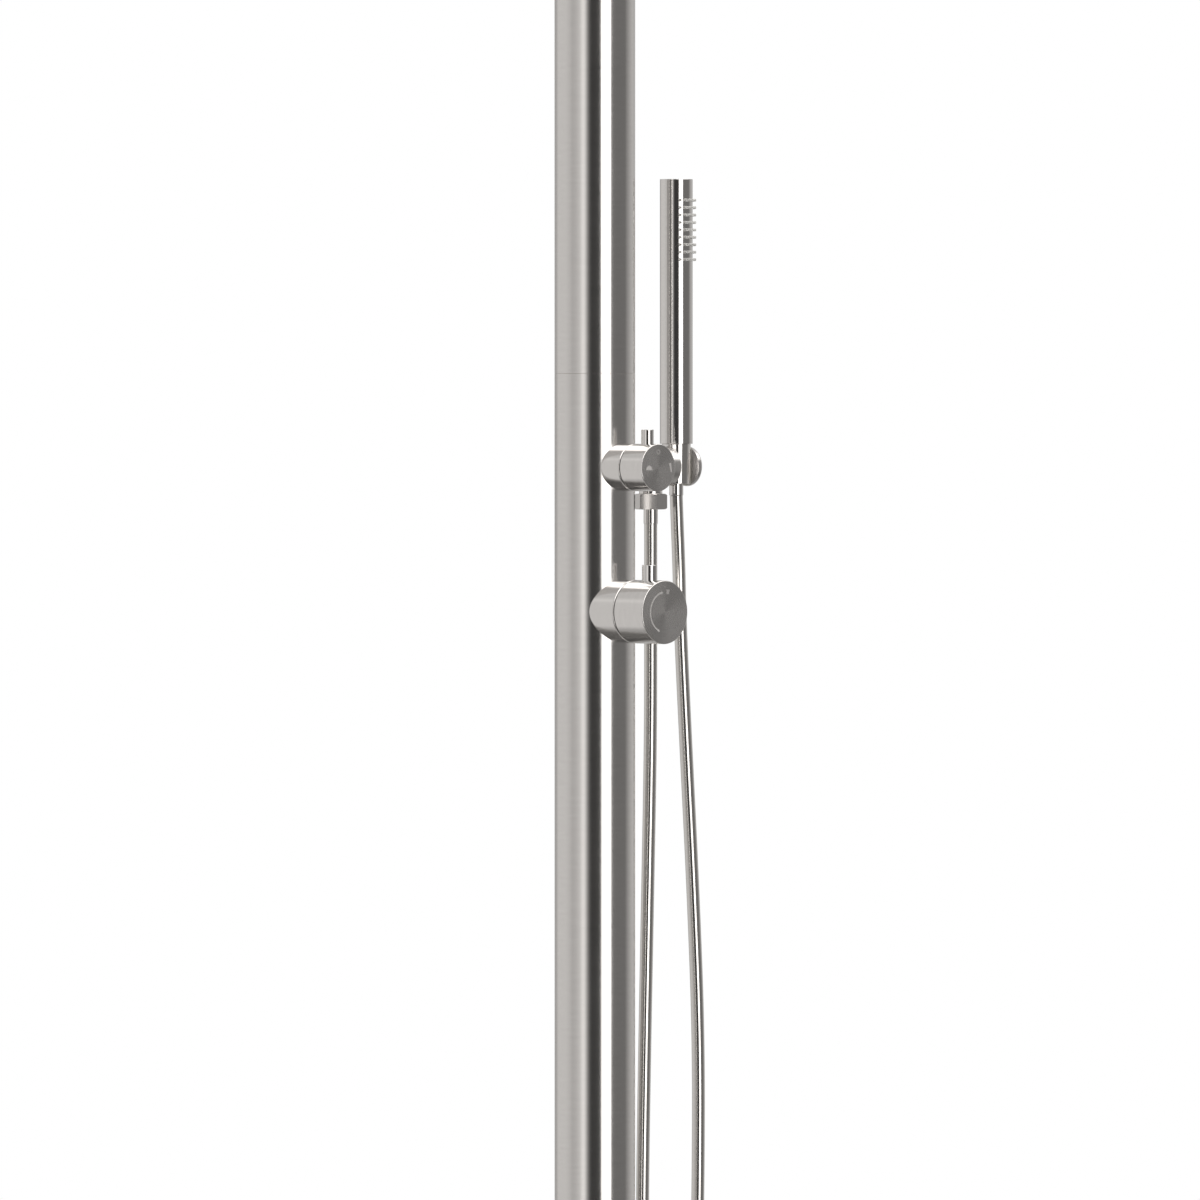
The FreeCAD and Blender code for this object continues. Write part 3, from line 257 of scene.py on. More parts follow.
# Below them the lamps end, and the front is dark
LOWER = (
    (-180, 0.45), (-146, 0.42), (-130, 0.66), (-92, 0.66), (-60, 0.4), (-30, 0.1), (100, 0.1),
    (125, 0.45), (180, 0.45),
)
LOWER_FROM, LOWER_FULL = -0.35, -0.5
print("studio with", len(WALLS), "wall stops,", len(UPPER), "above and", len(LOWER), "below")

# %% The studio's world
world = bpy.data.worlds.new("studio")
scene.world = world
world.use_nodes = True
studio = world.node_tree
studio.nodes.clear()
looking = node(studio, "ShaderNodeTexCoord").outputs["Generated"]
from_camera = node(studio, "ShaderNodeVectorRotate",
                   {"Vector": looking, "Angle": -CAMERA_AZIMUTH}, rotation_type="Z_AXIS")
parts = node(studio, "ShaderNodeSeparateXYZ", {0: from_camera.outputs[0]})
ahead = math_node(studio, "MULTIPLY", parts.outputs["Y"], -1.0)
round_angle = math_node(studio, "ARCTAN2", parts.outputs["X"], ahead)
round_share = math_node(studio, "ADD", math_node(studio, "DIVIDE", round_angle, math.tau), 0.5)
height_share = math_node(studio, "MULTIPLY_ADD", parts.outputs["Z"], 0.5, 0.5)
wall_fade = ramp(studio, height_share, [(height / 2 + 0.5, v) for height, v in WALL_HEIGHTS])


def ring_of(stops):
    """A ramp round the horizon, from degrees and brightness."""
    return ramp(studio, round_share, [(d / 360 + 0.5, v / WALL_STRENGTH) for d, v in stops])


def mixed_by_height(low_colour, high_colour, start, full):
    share = stretched(studio, parts.outputs["Z"], start, full)
    return mixed(studio, share, low_colour, high_colour)


walls_and_floor = mixed_by_height(ring_of(WALLS), ring_of(LOWER), LOWER_FROM, LOWER_FULL)
faded_walls = mixed(studio, 1.0, walls_and_floor, wall_fade, "MULTIPLY")
surroundings = mixed_by_height(faded_walls, ring_of(UPPER), UPPER_FROM, UPPER_FULL)
warm = mixed(studio, 1.0, surroundings, (*WALL_TINT, 1), "MULTIPLY")
lit = node(studio, "ShaderNodeBackground", {"Color": warm, "Strength": WALL_STRENGTH})
white = node(studio, "ShaderNodeBackground", {"Color": (1, 1, 1, 1), "Strength": 1.0})
by_camera = node(studio, "ShaderNodeLightPath").outputs["Is Camera Ray"]
seen = mixed_shader(studio, by_camera, lit.outputs[0], white.outputs[0])
node(studio, "ShaderNodeOutputWorld", {"Surface": seen})
print("world with", len(studio.nodes), "nodes")

# %% [markdown]
# ## Floor
# The post stands on a pale floor that the picture doesn't show. A square sheet would end in a
# line against the white, so the floor is a round one that takes the shadow and fades out before
# its edge. Mirrors show it dimmer than the camera does, because the undersides in the picture
# are dark.

# %% Floor
FLOOR_RADIUS = 1.5
FLOOR_SIDES = 128
FLOOR_FADE = (0.6, 1.35)
FLOOR_DROP = 0.2 * MM
FLOOR_COLOUR = (0.86, 0.86, 0.85, 1)
FLOOR_IN_MIRRORS = (0.36, 0.36, 0.355, 1)
floor_mesh = bpy.data.meshes.new("floor")
disc = bmesh.new()
bmesh.ops.create_circle(disc, cap_ends=True, segments=FLOOR_SIDES, radius=FLOOR_RADIUS)
bmesh.ops.translate(disc, verts=disc.verts, vec=(0, 0, -FLOOR_DROP))
disc.to_mesh(floor_mesh)
disc.free()
floor = bpy.data.objects.new("floor", floor_mesh)
scene.collection.objects.link(floor)

floor_finish = bpy.data.materials.new("pale_floor")
floor_finish.use_nodes = True
tree = floor_finish.node_tree
tree.nodes.clear()
place = node(tree, "ShaderNodeTexCoord").outputs["Object"]
out_from_post = node(tree, "ShaderNodeVectorMath", {0: place}, operation="LENGTH")
fade = stretched(tree, out_from_post.outputs["Value"], *FLOOR_FADE,
                 interpolation_type="SMOOTHSTEP")
seen_plain = node(tree, "ShaderNodeBsdfDiffuse", {"Color": FLOOR_COLOUR})
seen_mirrored = node(tree, "ShaderNodeBsdfDiffuse", {"Color": FLOOR_IN_MIRRORS})
gone = node(tree, "ShaderNodeBsdfTransparent")
by_mirror = node(tree, "ShaderNodeLightPath").outputs["Is Glossy Ray"]
by_ray = mixed_shader(tree, by_mirror, seen_plain.outputs[0], seen_mirrored.outputs[0])
node(tree, "ShaderNodeOutputMaterial",
     {"Surface": mixed_shader(tree, fade, by_ray, gone.outputs[0])})
floor_mesh.materials.append(floor_finish)
print("floor", FLOOR_RADIUS, "m round the post")

# %% [markdown]
# ## Shapes turned on a lathe
# Nearly every piece was turned on a lathe. Blender's Spin or a Screw modifier could do it, but a
# function can do more: it takes a section, as corners with a radius, a height and a rounding,
# makes every rounding a true arc, and gives each face corner its exact normal, so a wide flat
# next to a tiny rounding still reflects like a flat.
# Each mesh also gets a "wrap" map: U runs along the section, V once round the axis. Brushing
# lines run round a turned piece, and this map tells the finish which way they go.

# %% A section's corners as stations
AXES = {
    "up": (Vector((1, 0, 0)), Vector((0, 1, 0)), Vector((0, 0, 1))),
    "down": (Vector((0, 1, 0)), Vector((1, 0, 0)), Vector((0, 0, -1))),
    "front": (Vector((1, 0, 0)), Vector((0, 0, 1)), Vector((0, -1, 0))),
    "side": (Vector((0, 1, 0)), Vector((0, 0, 1)), Vector((1, 0, 0))),
}
ARC_STEP = math.radians(15.0)
NEARLY_NOTHING = 1e-7


def right_of(direction):
    return Vector((direction.y, -direction.x))


def turned_by(direction, angle):
    cosine, sine = math.cos(angle), math.sin(angle)
    return Vector((direction.x * cosine - direction.y * sine,
                   direction.x * sine + direction.y * cosine))


def stations_of(corners, closed):
    """A section's corners as (point, normal before, normal after), with arcs at roundings.
    The corners run anticlockwise where radius points right and height points up."""
    stations = []
    for i, (radius, height, rounding) in enumerate(corners):
        here = Vector((radius, height))
        before = (here - Vector(corners[i - 1][:2])).normalized()
        after = (Vector(corners[(i + 1) % len(corners)][:2]) - here).normalized()
        if not closed and i == 0:
            stations.append((here, right_of(after), right_of(after)))
            continue
        if not closed and i == len(corners) - 1:
            stations.append((here, right_of(before), right_of(before)))
            continue
        bend = math.atan2(before.cross(after), before.dot(after))
        if rounding == 0:
            stations.append((here, right_of(before), right_of(after)))
            continue
        side = math.copysign(rounding, bend)
        start = here - before * rounding * math.tan(abs(bend) / 2)
        centre = start - right_of(before) * side
        steps = max(2, math.ceil(abs(bend) / ARC_STEP))
        for step in range(steps + 1):
            normal = turned_by(right_of(before), bend * step / steps)
            stations.append((centre + normal * side, normal, normal))
    return stations


print("axes", sorted(AXES))


# %% A mesh with its own normals and wrap map
def mesh_of(name, points, faces, normals, wraps):
    """A smooth mesh whose face corners have the given normals and wrap coordinates."""
    mesh = bpy.data.meshes.new(name)
    mesh.from_pydata(points, [], faces)
    layer = mesh.uv_layers.new(name="wrap")
    for corner, wrap in zip(layer.data, wraps):
        corner.uv = wrap
    mesh.shade_smooth()
    mesh.normals_split_custom_set(normals)
    return mesh


print("mesh helper ready")

# %% Spinning a section
# How many sides a round has, by its size
SMALL_ROUND, MIDDLE_ROUND, LARGE_ROUND, WIDE_ROUND = 64, 96, 128, 192


def turned(name, corners, axis="up", centre=(0, 0, 0), sides=MIDDLE_ROUND, closed=False,
           root=0.0):
    """A section spun round an axis. An open section starts and ends on the axis. With a root,
    the lowest corners follow a round of that radius about the centre, as a branch does."""
    across, over, along = AXES[axis]
    centre = Vector(centre)
    stations = stations_of(corners, closed)
    lowest = min(station[0].y for station in stations)

    def outward_at(spoke):
        angle = math.tau * spoke / sides
        return across * math.cos(angle) + over * math.sin(angle)

    points, rings = [], []
    for point, _, _ in stations:
        ring = []
        for k in range(1 if point.x < NEARLY_NOTHING else sides):
            height = point.y
            if root and height < lowest + NEARLY_NOTHING:
                aside = point.x * math.cos(math.tau * k / sides)
                height = math.sqrt(root ** 2 - aside ** 2)
            ring.append(len(points))
            points.append(centre + outward_at(k) * point.x + along * height)
        rings.append(ring)
    faces, normals, wraps = [], [], []
    travelled = 0.0
    pairs = list(zip(range(len(stations)), range(1, len(stations))))
    if closed:
        pairs.append((len(stations) - 1, 0))
    for i, j in pairs:
        start, _, normal_start = stations[i]
        end, normal_end, _ = stations[j]
        reached = travelled + (end - start).length
        low_ring, high_ring = rings[i], rings[j]
        for k in range(sides):
            n = (k + 1) % sides
            if len(low_ring) == 1:
                low = [(low_ring[0], k + 0.5)]
            else:
                low = [(low_ring[k], k), (low_ring[n], k + 1)]
            if len(high_ring) == 1:
                high = [(high_ring[0], k + 0.5)]
            else:
                high = [(high_ring[n], k + 1), (high_ring[k], k)]
            face = []
            for edge, normal, way in ((low, normal_start, travelled), (high, normal_end, reached)):
                for index, spoke in edge:
                    face.append(index)
                    normals.append(outward_at(spoke) * normal.x + along * normal.y)
                    wraps.append((way, spoke / sides))
            faces.append(face)
        travelled = reached
    return mesh_of(name, points, faces, normals, wraps)


print("lathe ready, with up to", WIDE_ROUND, "sides")

# %% [markdown]
# ## Shapes taken over from the frame
# A few pieces have cuts through them, such as the bar with its holder. Cutting new shapes with
# Boolean modifiers would leave poor normals along the cuts. The exact shape is in the frame
# already, only without a map for the finish. So a copy is merged into a closed skin, keeps its
# exact normals, and gets the same wrap map as the turned pieces.

# %% Copying a frame mesh with a wrap map
MERGE_DISTANCE = 1e-6


def wrap_round(mesh, centre, axis):
    """Adds the wrap map of a round about an axis: U along the wall and in over the ends."""
    across, over, along = AXES[axis]
    layer = mesh.uv_layers.new(name="wrap")
    for face in mesh.polygons:
        spots = []
        for loop in face.loop_indices:
            offset = mesh.vertices[mesh.loops[loop].vertex_index].co - centre
            flat = Vector((offset.dot(across), offset.dot(over)))
            share = math.atan2(flat.y, flat.x) / math.tau
            if spots and abs(share - spots[0][1]) > 0.5:
                share += math.copysign(1.0, spots[0][1] - share)
            spots.append((offset.dot(along) - flat.length, share))
        for loop, spot in zip(face.loop_indices, spots):
            layer.data[loop].uv = spot


def copied(node_name, centre, axis):
    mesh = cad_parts[node_name].data.copy()
    mesh.materials.clear()
    normals = [Vector(corner.vector) for corner in mesh.corner_normals]
    skin = bmesh.new()
    skin.from_mesh(mesh)
    before = len(skin.faces)
    bmesh.ops.remove_doubles(skin, verts=skin.verts, dist=MERGE_DISTANCE)
    kept_all = len(skin.faces) == before
    skin.to_mesh(mesh)
    skin.free()
    if kept_all:
        mesh.normals_split_custom_set(normals)
    wrap_round(mesh, Vector(centre), axis)
    print(node_name, "copied,", before, "faces, all kept:", kept_all)
    return mesh


print("copying ready")

# %% [markdown]
# ## Finishes
# Effects that several metals share are node groups: the fine lines that brushing leaves, and the
# faint clouds and dried drops that wiping and water leave. Image textures could show them too,
# but procedural ones stay sharp at any distance. A group puts out masks and heights only, and
# each material feeds them to its own shader.

# %% A node group's frame
def new_group(name, inputs, outputs):
    """A shader group with named float inputs and outputs; returns it with its two ends."""
    group = bpy.data.node_groups.new(name, "ShaderNodeTree")
    for label, value in inputs.items():
        socket = group.interface.new_socket(label, in_out="INPUT", socket_type="NodeSocketFloat")
        socket.default_value = value
    for label in outputs:
        group.interface.new_socket(label, in_out="OUTPUT", socket_type="NodeSocketFloat")
    return group, node(group, "NodeGroupInput"), node(group, "NodeGroupOutput")


def wrap_point(tree, pitch, spread):
    """The wrap map as a point on an endless round bar: pitch is metres of U to one unit, and
    spread is the bar's radius, which sets how many grains fit round a piece."""
    wrap = node(tree, "ShaderNodeUVMap", uv_map="wrap").outputs["UV"]
    along, share = node(tree, "ShaderNodeSeparateXYZ", {0: wrap}).outputs[:2]
    angle = math_node(tree, "MULTIPLY", share, math.tau)
    return node(tree, "ShaderNodeCombineXYZ", {
        "X": math_node(tree, "DIVIDE", along, pitch),
        "Y": math_node(tree, "MULTIPLY", math_node(tree, "COSINE", angle), spread),
        "Z": math_node(tree, "MULTIPLY", math_node(tree, "SINE", angle), spread),
    }).outputs[0]


print("group shorthand ready")

# %% Brushed grain
COARSE_TO_FINE = 6.0
brush_grain, given, result = new_group(
    "brush_grain", {"Pitch": 0.0005, "Spread": 1.5, "Coarse Share": 0.4}, ("Grain",))
pitch, spread, coarse_share = given.outputs[:3]
wide_pitch = math_node(brush_grain, "MULTIPLY", pitch, COARSE_TO_FINE)
fine = node(brush_grain, "ShaderNodeTexNoise", {
    "Vector": wrap_point(brush_grain, pitch, spread), "Scale": 1.0, "Detail": 2.0,
    "Roughness": 0.6})
coarse = node(brush_grain, "ShaderNodeTexNoise", {
    "Vector": wrap_point(brush_grain, wide_pitch, spread), "Scale": 1.0, "Detail": 3.0})
both = node(brush_grain, "ShaderNodeMix",
            {0: coarse_share, 2: fine.outputs["Fac"], 3: coarse.outputs["Fac"]},
            data_type="FLOAT")
feed(brush_grain, result, {"Grain": both.outputs[0]})
print("group", brush_grain.name)

# %% Wiped clouds and dried drops
DROP_RIM = (0.10, 0.16)
RARE_DROPS = (0.80, 0.82)
wiped, given, result = new_group(
    "wiped", {"Cloud Scale": 22.0, "Drop Scale": 90.0}, ("Clouds", "Drops"))
place = node(wiped, "ShaderNodeTexCoord").outputs["Object"]
clouds = node(wiped, "ShaderNodeTexNoise", {
    "Vector": place, "Scale": given.outputs["Cloud Scale"], "Detail": 4.0, "Roughness": 0.55})
cells = node(wiped, "ShaderNodeTexVoronoi", {
    "Vector": place, "Scale": given.outputs["Drop Scale"], "Randomness": 1.0})
rim = stretched(wiped, cells.outputs["Distance"], *DROP_RIM, 1.0, 0.0)
rare = stretched(wiped, cells.outputs["Color"], *RARE_DROPS)
drops = math_node(wiped, "MULTIPLY", rim, rare)
feed(wiped, result, {"Clouds": clouds.outputs["Fac"], "Drops": drops})
print("group", wiped.name)

# %% [markdown]
# ## Metals
# Brushed, turned and polished steel differ in how rough they are, how fine their lines are, and
# how much the lines draw a reflection out across them. One function makes them all, so they
# stay one family. The lines' pull is the shader's anisotropy, which follows the wrap map.

# %% A metal from its colour, polish and grain
GRAIN_RANGE = (0.3, 0.7)
GRAIN_TONES = (0.955, 1.03)
UNEVEN = 0.05
DROPS_ROUGHER = 0.05


def new_finish(name):
    made = bpy.data.materials.new(name)
    made.use_nodes = True
    return made, made.node_tree, made.node_tree.nodes["Principled BSDF"]


def grouped(tree, group, values):
    return node(tree, "ShaderNodeGroup", values, node_tree=group)


def bumped(tree, height, depth):
    return node(tree, "ShaderNodeBump",
                {"Height": height, "Strength": 1.0, "Distance": depth}).outputs[0]


def metal(name, colour, roughness, pitch, spread, depth, one_way=0.0, wrapped=True):
    """A metal whose colour, roughness and surface follow its grain and the wiping on it.
    One_way is the shader's anisotropy, for grooves that run round the piece."""
    made, tree, shader = new_finish(name)
    wipe = grouped(tree, wiped, {})
    if wrapped:
        grain = grouped(tree, brush_grain, {"Pitch": pitch, "Spread": spread}).outputs["Grain"]
    else:
        place = node(tree, "ShaderNodeTexCoord").outputs["Object"]
        grain = node(tree, "ShaderNodeTexNoise",
                     {"Vector": place, "Scale": 1 / pitch, "Detail": 3.0}).outputs["Fac"]
    tone = stretched(tree, grain, *GRAIN_RANGE, *GRAIN_TONES)
    clouded = math_node(tree, "MULTIPLY_ADD", wipe.outputs["Clouds"], UNEVEN, roughness - UNEVEN)
    grained = math_node(tree, "MULTIPLY_ADD", grain, UNEVEN, clouded)
    spotted = math_node(tree, "MULTIPLY_ADD", wipe.outputs["Drops"], DROPS_ROUGHER, grained)
    feed(tree, shader, {
        "Metallic": 1.0,
        "Base Color": mixed(tree, 1.0, (*colour, 1), tone, "MULTIPLY"),
        "Roughness": spotted,
        "Normal": bumped(tree, grain, depth),
    })
    if one_way:
        tangent = node(tree, "ShaderNodeTangent", direction_type="UV_MAP", uv_map="wrap")
        feed(tree, shader, {"Anisotropic": one_way, "Tangent": tangent.outputs[0]})
    return made


print("metal recipe ready")

# %% The metals
STEEL = (0.77, 0.755, 0.74)
BRIGHT = (0.80, 0.785, 0.77)
PIPE = (0.62, 0.61, 0.59)
BRASS = (0.80, 0.60, 0.30)
# Name, colour, roughness, pitch of the grain, its spread, and the depth of its lines
brushed_steel = metal("brushed_steel", STEEL, 0.17, 0.45 * MM, 2.0, 0.0015 * MM, one_way=0.35)
turned_steel = metal("turned_steel", STEEL, 0.12, 0.45 * MM, 2.0, 0.001 * MM, one_way=0.3)
satin_face = metal("brushed_face", STEEL, 0.27, 0.35 * MM, 2.5, 0.002 * MM, one_way=0.8)
bar_steel = metal("brushed_bar", STEEL, 0.28, 0.45 * MM, 2.0, 0.0015 * MM, one_way=0.8)
turned_face = metal("turned_face", STEEL, 0.27, 0.35 * MM, 2.5, 0.001 * MM, one_way=0.75)
polished_steel = metal("polished_steel", BRIGHT, 0.10, 0.6 * MM, 3.0, 0.0008 * MM)
pipe_steel = metal("pipe_steel", PIPE, 0.33, 1.2 * MM, 1.0, 0.01 * MM, wrapped=False)
nut_steel = metal("tumbled_steel", STEEL, 0.20, 0.6 * MM, 1.0, 0.002 * MM, wrapped=False)
cad_steel = metal("cast_steel", STEEL, 0.28, 0.8 * MM, 1.0, 0.003 * MM, wrapped=False)
cad_polish = metal("bright_steel", BRIGHT, 0.12, 2 * MM, 1.0, 0.001 * MM, wrapped=False)
brass = metal("fitting_brass", BRASS, 0.30, 1.5 * MM, 1.0, 0.008 * MM, wrapped=False)
print("metals made")

# %% [markdown]
# ## Plastics and rubber
# Seals, cartridges, nozzles and the etched marks are dull and a little uneven. A plain colour
# would look like a placeholder, so each has a fine texture that breaks the sheen and clouds
# that shift its colour.

# %% Plastics, rubber and etched marks
TEXTURE_ROUGHNESS = 0.16
CLOUDS_ON_PLASTIC = 60.0


def plastic(name, colour, roughness, grain_size, depth, contrast=0.12):
    """A moulded material with a fine texture and a slightly uneven colour."""
    made, tree, shader = new_finish(name)
    place = node(tree, "ShaderNodeTexCoord").outputs["Object"]
    texture = node(tree, "ShaderNodeTexNoise",
                   {"Vector": place, "Scale": 1 / grain_size, "Detail": 3.0}).outputs["Fac"]
    wipe = grouped(tree, wiped, {"Cloud Scale": CLOUDS_ON_PLASTIC})
    darker = tuple(c * (1 - contrast) for c in colour)
    lighter = tuple(min(1.0, c * (1 + contrast)) for c in colour)
    feed(tree, shader, {
        "Base Color": ramp(tree, wipe.outputs["Clouds"], ((0.3, darker), (0.7, lighter))),
        "Roughness": math_node(tree, "MULTIPLY_ADD", texture, TEXTURE_ROUGHNESS,
                               roughness - TEXTURE_ROUGHNESS / 2),
        "Normal": bumped(tree, texture, depth),
    })
    return made


black_plastic = plastic("dark_plastic", (0.028, 0.028, 0.029), 0.42, 0.5 * MM, 0.01 * MM)
rubber = plastic("seal_rubber", (0.022, 0.022, 0.022), 0.62, 0.7 * MM, 0.02 * MM)
silicone = plastic("nozzle_silicone", (0.70, 0.70, 0.685), 0.45, 0.4 * MM, 0.006 * MM)
cartridge = plastic("cartridge_plastic", (0.72, 0.71, 0.66), 0.4, 0.6 * MM, 0.01 * MM)
etched = plastic("etched_mark", (0.47, 0.46, 0.45), 0.5, 0.3 * MM, 0.004 * MM, contrast=0.05)
faint_etched = plastic("faint_mark", (0.32, 0.31, 0.305), 0.5, 0.3 * MM, 0.004 * MM, contrast=0.05)
print("plastics made")

# %% [markdown]
# ## The hose's cover
# The hose is wrapped in a silvery strip under a clear skin. The strip's turns could be modelled,
# but they are far too shallow to show as shape. A seam that winds along the wrap map dents the
# metal a little and darkens its colour as painted shade in the groove, and a clear coat is the
# skin.

# %% The hose's cover
HOSE_METAL = (0.74, 0.725, 0.70, 1)
HOSE_WIND = 7.0 * MM
# Painted shade: the metal's colour darkens along the seam, where its groove would be in shade
SEAM_PAINTED_SHADE = ((0.0, 0.94), (0.06, 1.0), (0.94, 1.0), (1.0, 0.94))
SEAM_DEPTH = 0.004 * MM
HOSE_ROUGHNESS, HOSE_UNEVEN = 0.13, 0.05
hose_cover, tree, shader = new_finish("hose_cover")
wrap = node(tree, "ShaderNodeUVMap", uv_map="wrap").outputs["UV"]
along, share = node(tree, "ShaderNodeSeparateXYZ", {0: wrap}).outputs[:2]
wound = math_node(tree, "ADD", math_node(tree, "DIVIDE", along, HOSE_WIND), share)
# The seam is painted shade in the colour and a real dent in the surface
seam = ramp(tree, math_node(tree, "FRACT", wound), SEAM_PAINTED_SHADE)
hose_clouds = grouped(tree, wiped, {"Cloud Scale": 40.0}).outputs["Clouds"]
feed(tree, shader, {
    "Metallic": 1.0,
    "Coat Weight": 0.35,
    "Coat Roughness": 0.12,
    # Painted shade along the seam darkens the metal's colour
    "Base Color": mixed(tree, 1.0, HOSE_METAL, seam, "MULTIPLY"),
    "Roughness": math_node(tree, "MULTIPLY_ADD", hose_clouds, HOSE_UNEVEN, HOSE_ROUGHNESS),
    "Normal": bumped(tree, seam, SEAM_DEPTH),
})
print("hose cover made")

# %% [markdown]
# ## Placing a piece
# A finished mesh becomes an object at the origin, takes its material, rides on the body it
# moves with, and hides the frame nodes it stands for. Doing all that in one call means that no
# piece is left behind when a knob turns.

# %% Placing a piece
def piece(name, mesh, finish, body="post", replaces=()):
    mesh.materials.clear()
    mesh.materials.append(finish)
    made = bpy.data.objects.new(name, mesh)
    scene.collection.objects.link(made)
    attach(made, body)
    for node_name in replaces:
        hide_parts(node_name)
    print(name, len(mesh.polygons), "faces on", body)
    return made


def turned_piece(name, corners, finish, slot, body="post", replaces=(), **how):
    return piece(name, turned(name, corners, **how), finish, body, replaces)


print("placing ready")

# %% [markdown]
# ## Column
# Two lengths of 60.3 mm tube meet at a fine bevelled joint above the bar. They have openings
# for the valves, the bar and the arm that a lathe can't make, so their skins come from the
# frame. The cap is a turned disc with a full round at its rim.

# %% Column and cap
for name in ("lower_column", "upper_column"):
    skin = copied(name, (0, 0, 0), "up")
    piece("shown_" + name, skin, brushed_steel, replaces=[name])
column_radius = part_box("upper_column")[1].x
column_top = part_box("upper_column")[1].z
cap_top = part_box("top_cap")[1].z
CAP_ROUND = 1.45 * MM
CAP_EDGE = 0.2 * MM
CAP_PLUG_DEPTH = 6 * MM
PLUG_CLOSER = 2.2 * MM
plug_radius = column_radius - PLUG_CLOSER
turned_piece(
    "shown_top_cap",
    [(0, column_top - CAP_PLUG_DEPTH, 0), (plug_radius, column_top - CAP_PLUG_DEPTH, 0),
     (plug_radius, column_top, 0), (column_radius, column_top, CAP_EDGE),
     (column_radius, cap_top, CAP_ROUND), (0, cap_top, 0)],
    satin_face, "brushed_steel", replaces=["top_cap"], sides=LARGE_ROUND)

# %% [markdown]
# ## Base cover
# A pressed round cover hides the floor plate and its anchors. It could be a flat disc with a
# Bevel modifier, but the real one is thin sheet, hollow below, with its rim rolled over in a
# soft round. So it is one closed section, spun, that follows the sheet inside and out.

# %% Base cover
cover_low, cover_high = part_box("base_cover")
COVER_WALL = 1.5 * MM
COVER_ROUND = 6 * MM
COVER_EDGE = 0.3 * MM
COVER_GAP = 2 * MM
cover_hole = column_radius + COVER_GAP
cover_inner = cover_high.x - COVER_WALL
cover_under = cover_high.z - COVER_WALL
turned_piece(
    "shown_base_cover",
    [(cover_inner, cover_low.z, COVER_EDGE), (cover_high.x, cover_low.z, COVER_EDGE),
     (cover_high.x, cover_high.z, COVER_ROUND), (cover_hole, cover_high.z, COVER_EDGE),
     (cover_hole, cover_under, COVER_EDGE), (cover_inner, cover_under, COVER_ROUND - COVER_WALL)],
    satin_face, "brushed_steel", replaces=["base_cover"], sides=WIDE_ROUND, closed=True)

# %% [markdown]
# ## Valves
# Each valve shows three turned pieces: a sleeve that grows out of the column, a knob of the same
# size in front of it, past a thin groove, and a round pin on the knob as its grip. The sleeve's
# foot follows the column's round, like a pipe branch. A Boolean cut could shape it, but its
# lowest corners are moved onto that round instead, which keeps the mesh clean. The knob's front
# was faced on the lathe, so it takes a second finish of its own.

# %% Sleeves, knobs and grips
SLEEVE_WALL = 2.5 * MM
KNOB_WALL = 3.0 * MM
KNOB_FACE = 5.0 * MM
KNOB_ROUND = 0.7 * MM
GROOVE_ROUND = 0.9 * MM
GROOVE_CLOSER = 0.3 * MM
SMALL_BEVEL = 0.25 * MM
GRIP_BEVEL = 0.4 * MM
ROOT_SINK = 0.3 * MM
FACING_FRONT = -0.999


def finish_part_of(made, finish, belongs):
    """Gives a second finish to the faces for which belongs(normal, middle) is true."""
    made.data.materials.append(finish)
    count = 0
    for face in made.data.polygons:
        if belongs(face.normal, face.center):
            face.material_index = 1
            count += 1
    print(made.name, "has", count, "faces in", finish.name)


def valve(name):
    knob_low, knob_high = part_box(name + "_knob")
    grip_low, grip_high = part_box(name + "_grip")
    axis_height = (knob_low.z + knob_high.z) / 2
    on_axis = {"axis": "front", "centre": (0, 0, axis_height), "sides": LARGE_ROUND}
    radius = knob_high.x
    bore = radius - SLEEVE_WALL
    inner = radius - KNOB_WALL
    stub_end = GROOVE_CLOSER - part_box(name + "_stub")[0].y
    knob_start, knob_end = -knob_high.y - GROOVE_CLOSER, -knob_low.y
    turned_piece(
        "shown_" + name + "_stub",
        [(bore, 0, 0), (radius, 0, 0), (radius, stub_end, GROOVE_ROUND),
         (bore, stub_end, SMALL_BEVEL)],
        turned_steel, "brushed_steel", replaces=[name + "_stub"], closed=True,
        root=column_radius - ROOT_SINK, **on_axis)
    body = name + "_handle"
    knob = turned_piece(
        "shown_" + name + "_knob",
        [(0, knob_end - KNOB_FACE, 0), (inner, knob_end - KNOB_FACE, 0), (inner, knob_start, 0),
         (radius, knob_start, GROOVE_ROUND), (radius, knob_end, KNOB_ROUND), (0, knob_end, 0)],
        turned_steel, "brushed_steel", body, [name + "_knob"], **on_axis)
    finish_part_of(knob, turned_face, lambda normal, middle: normal.y < FACING_FRONT)
    grip_radius = (grip_high.x - grip_low.x) / 2
    grip_foot = axis_height + math.sqrt(inner ** 2 - grip_radius ** 2) + KNOB_WALL / 2
    turned_piece(
        "shown_" + name + "_grip",
        [(0, grip_foot, 0), (grip_radius, grip_foot, 0), (grip_radius, grip_high.z, GRIP_BEVEL),
         (0, grip_high.z, 0)],
        polished_steel, "polished_steel", body, [name + "_grip"],
        centre=(0, (grip_low.y + grip_high.y) / 2, 0), sides=SMALL_ROUND)


valve("mixer")
valve("diverter")

# %% [markdown]
# ## Marks on the knobs
# The faces carry etched marks: on the mixer an arc with two arrowheads and two faint patches
# beside it, and on the diverter an open ring for off, a dome for the rain head and a slanted
# stick for the handset.
# A mask in the material could paint them, but it would blur up close. Each is a thin flat plate
# let into the face instead, made of strips between two rows of points, with sharp edges.

# %% Plates for marks
MARK_LIFT = 0.04 * MM
MARK_SINK = 0.2 * MM


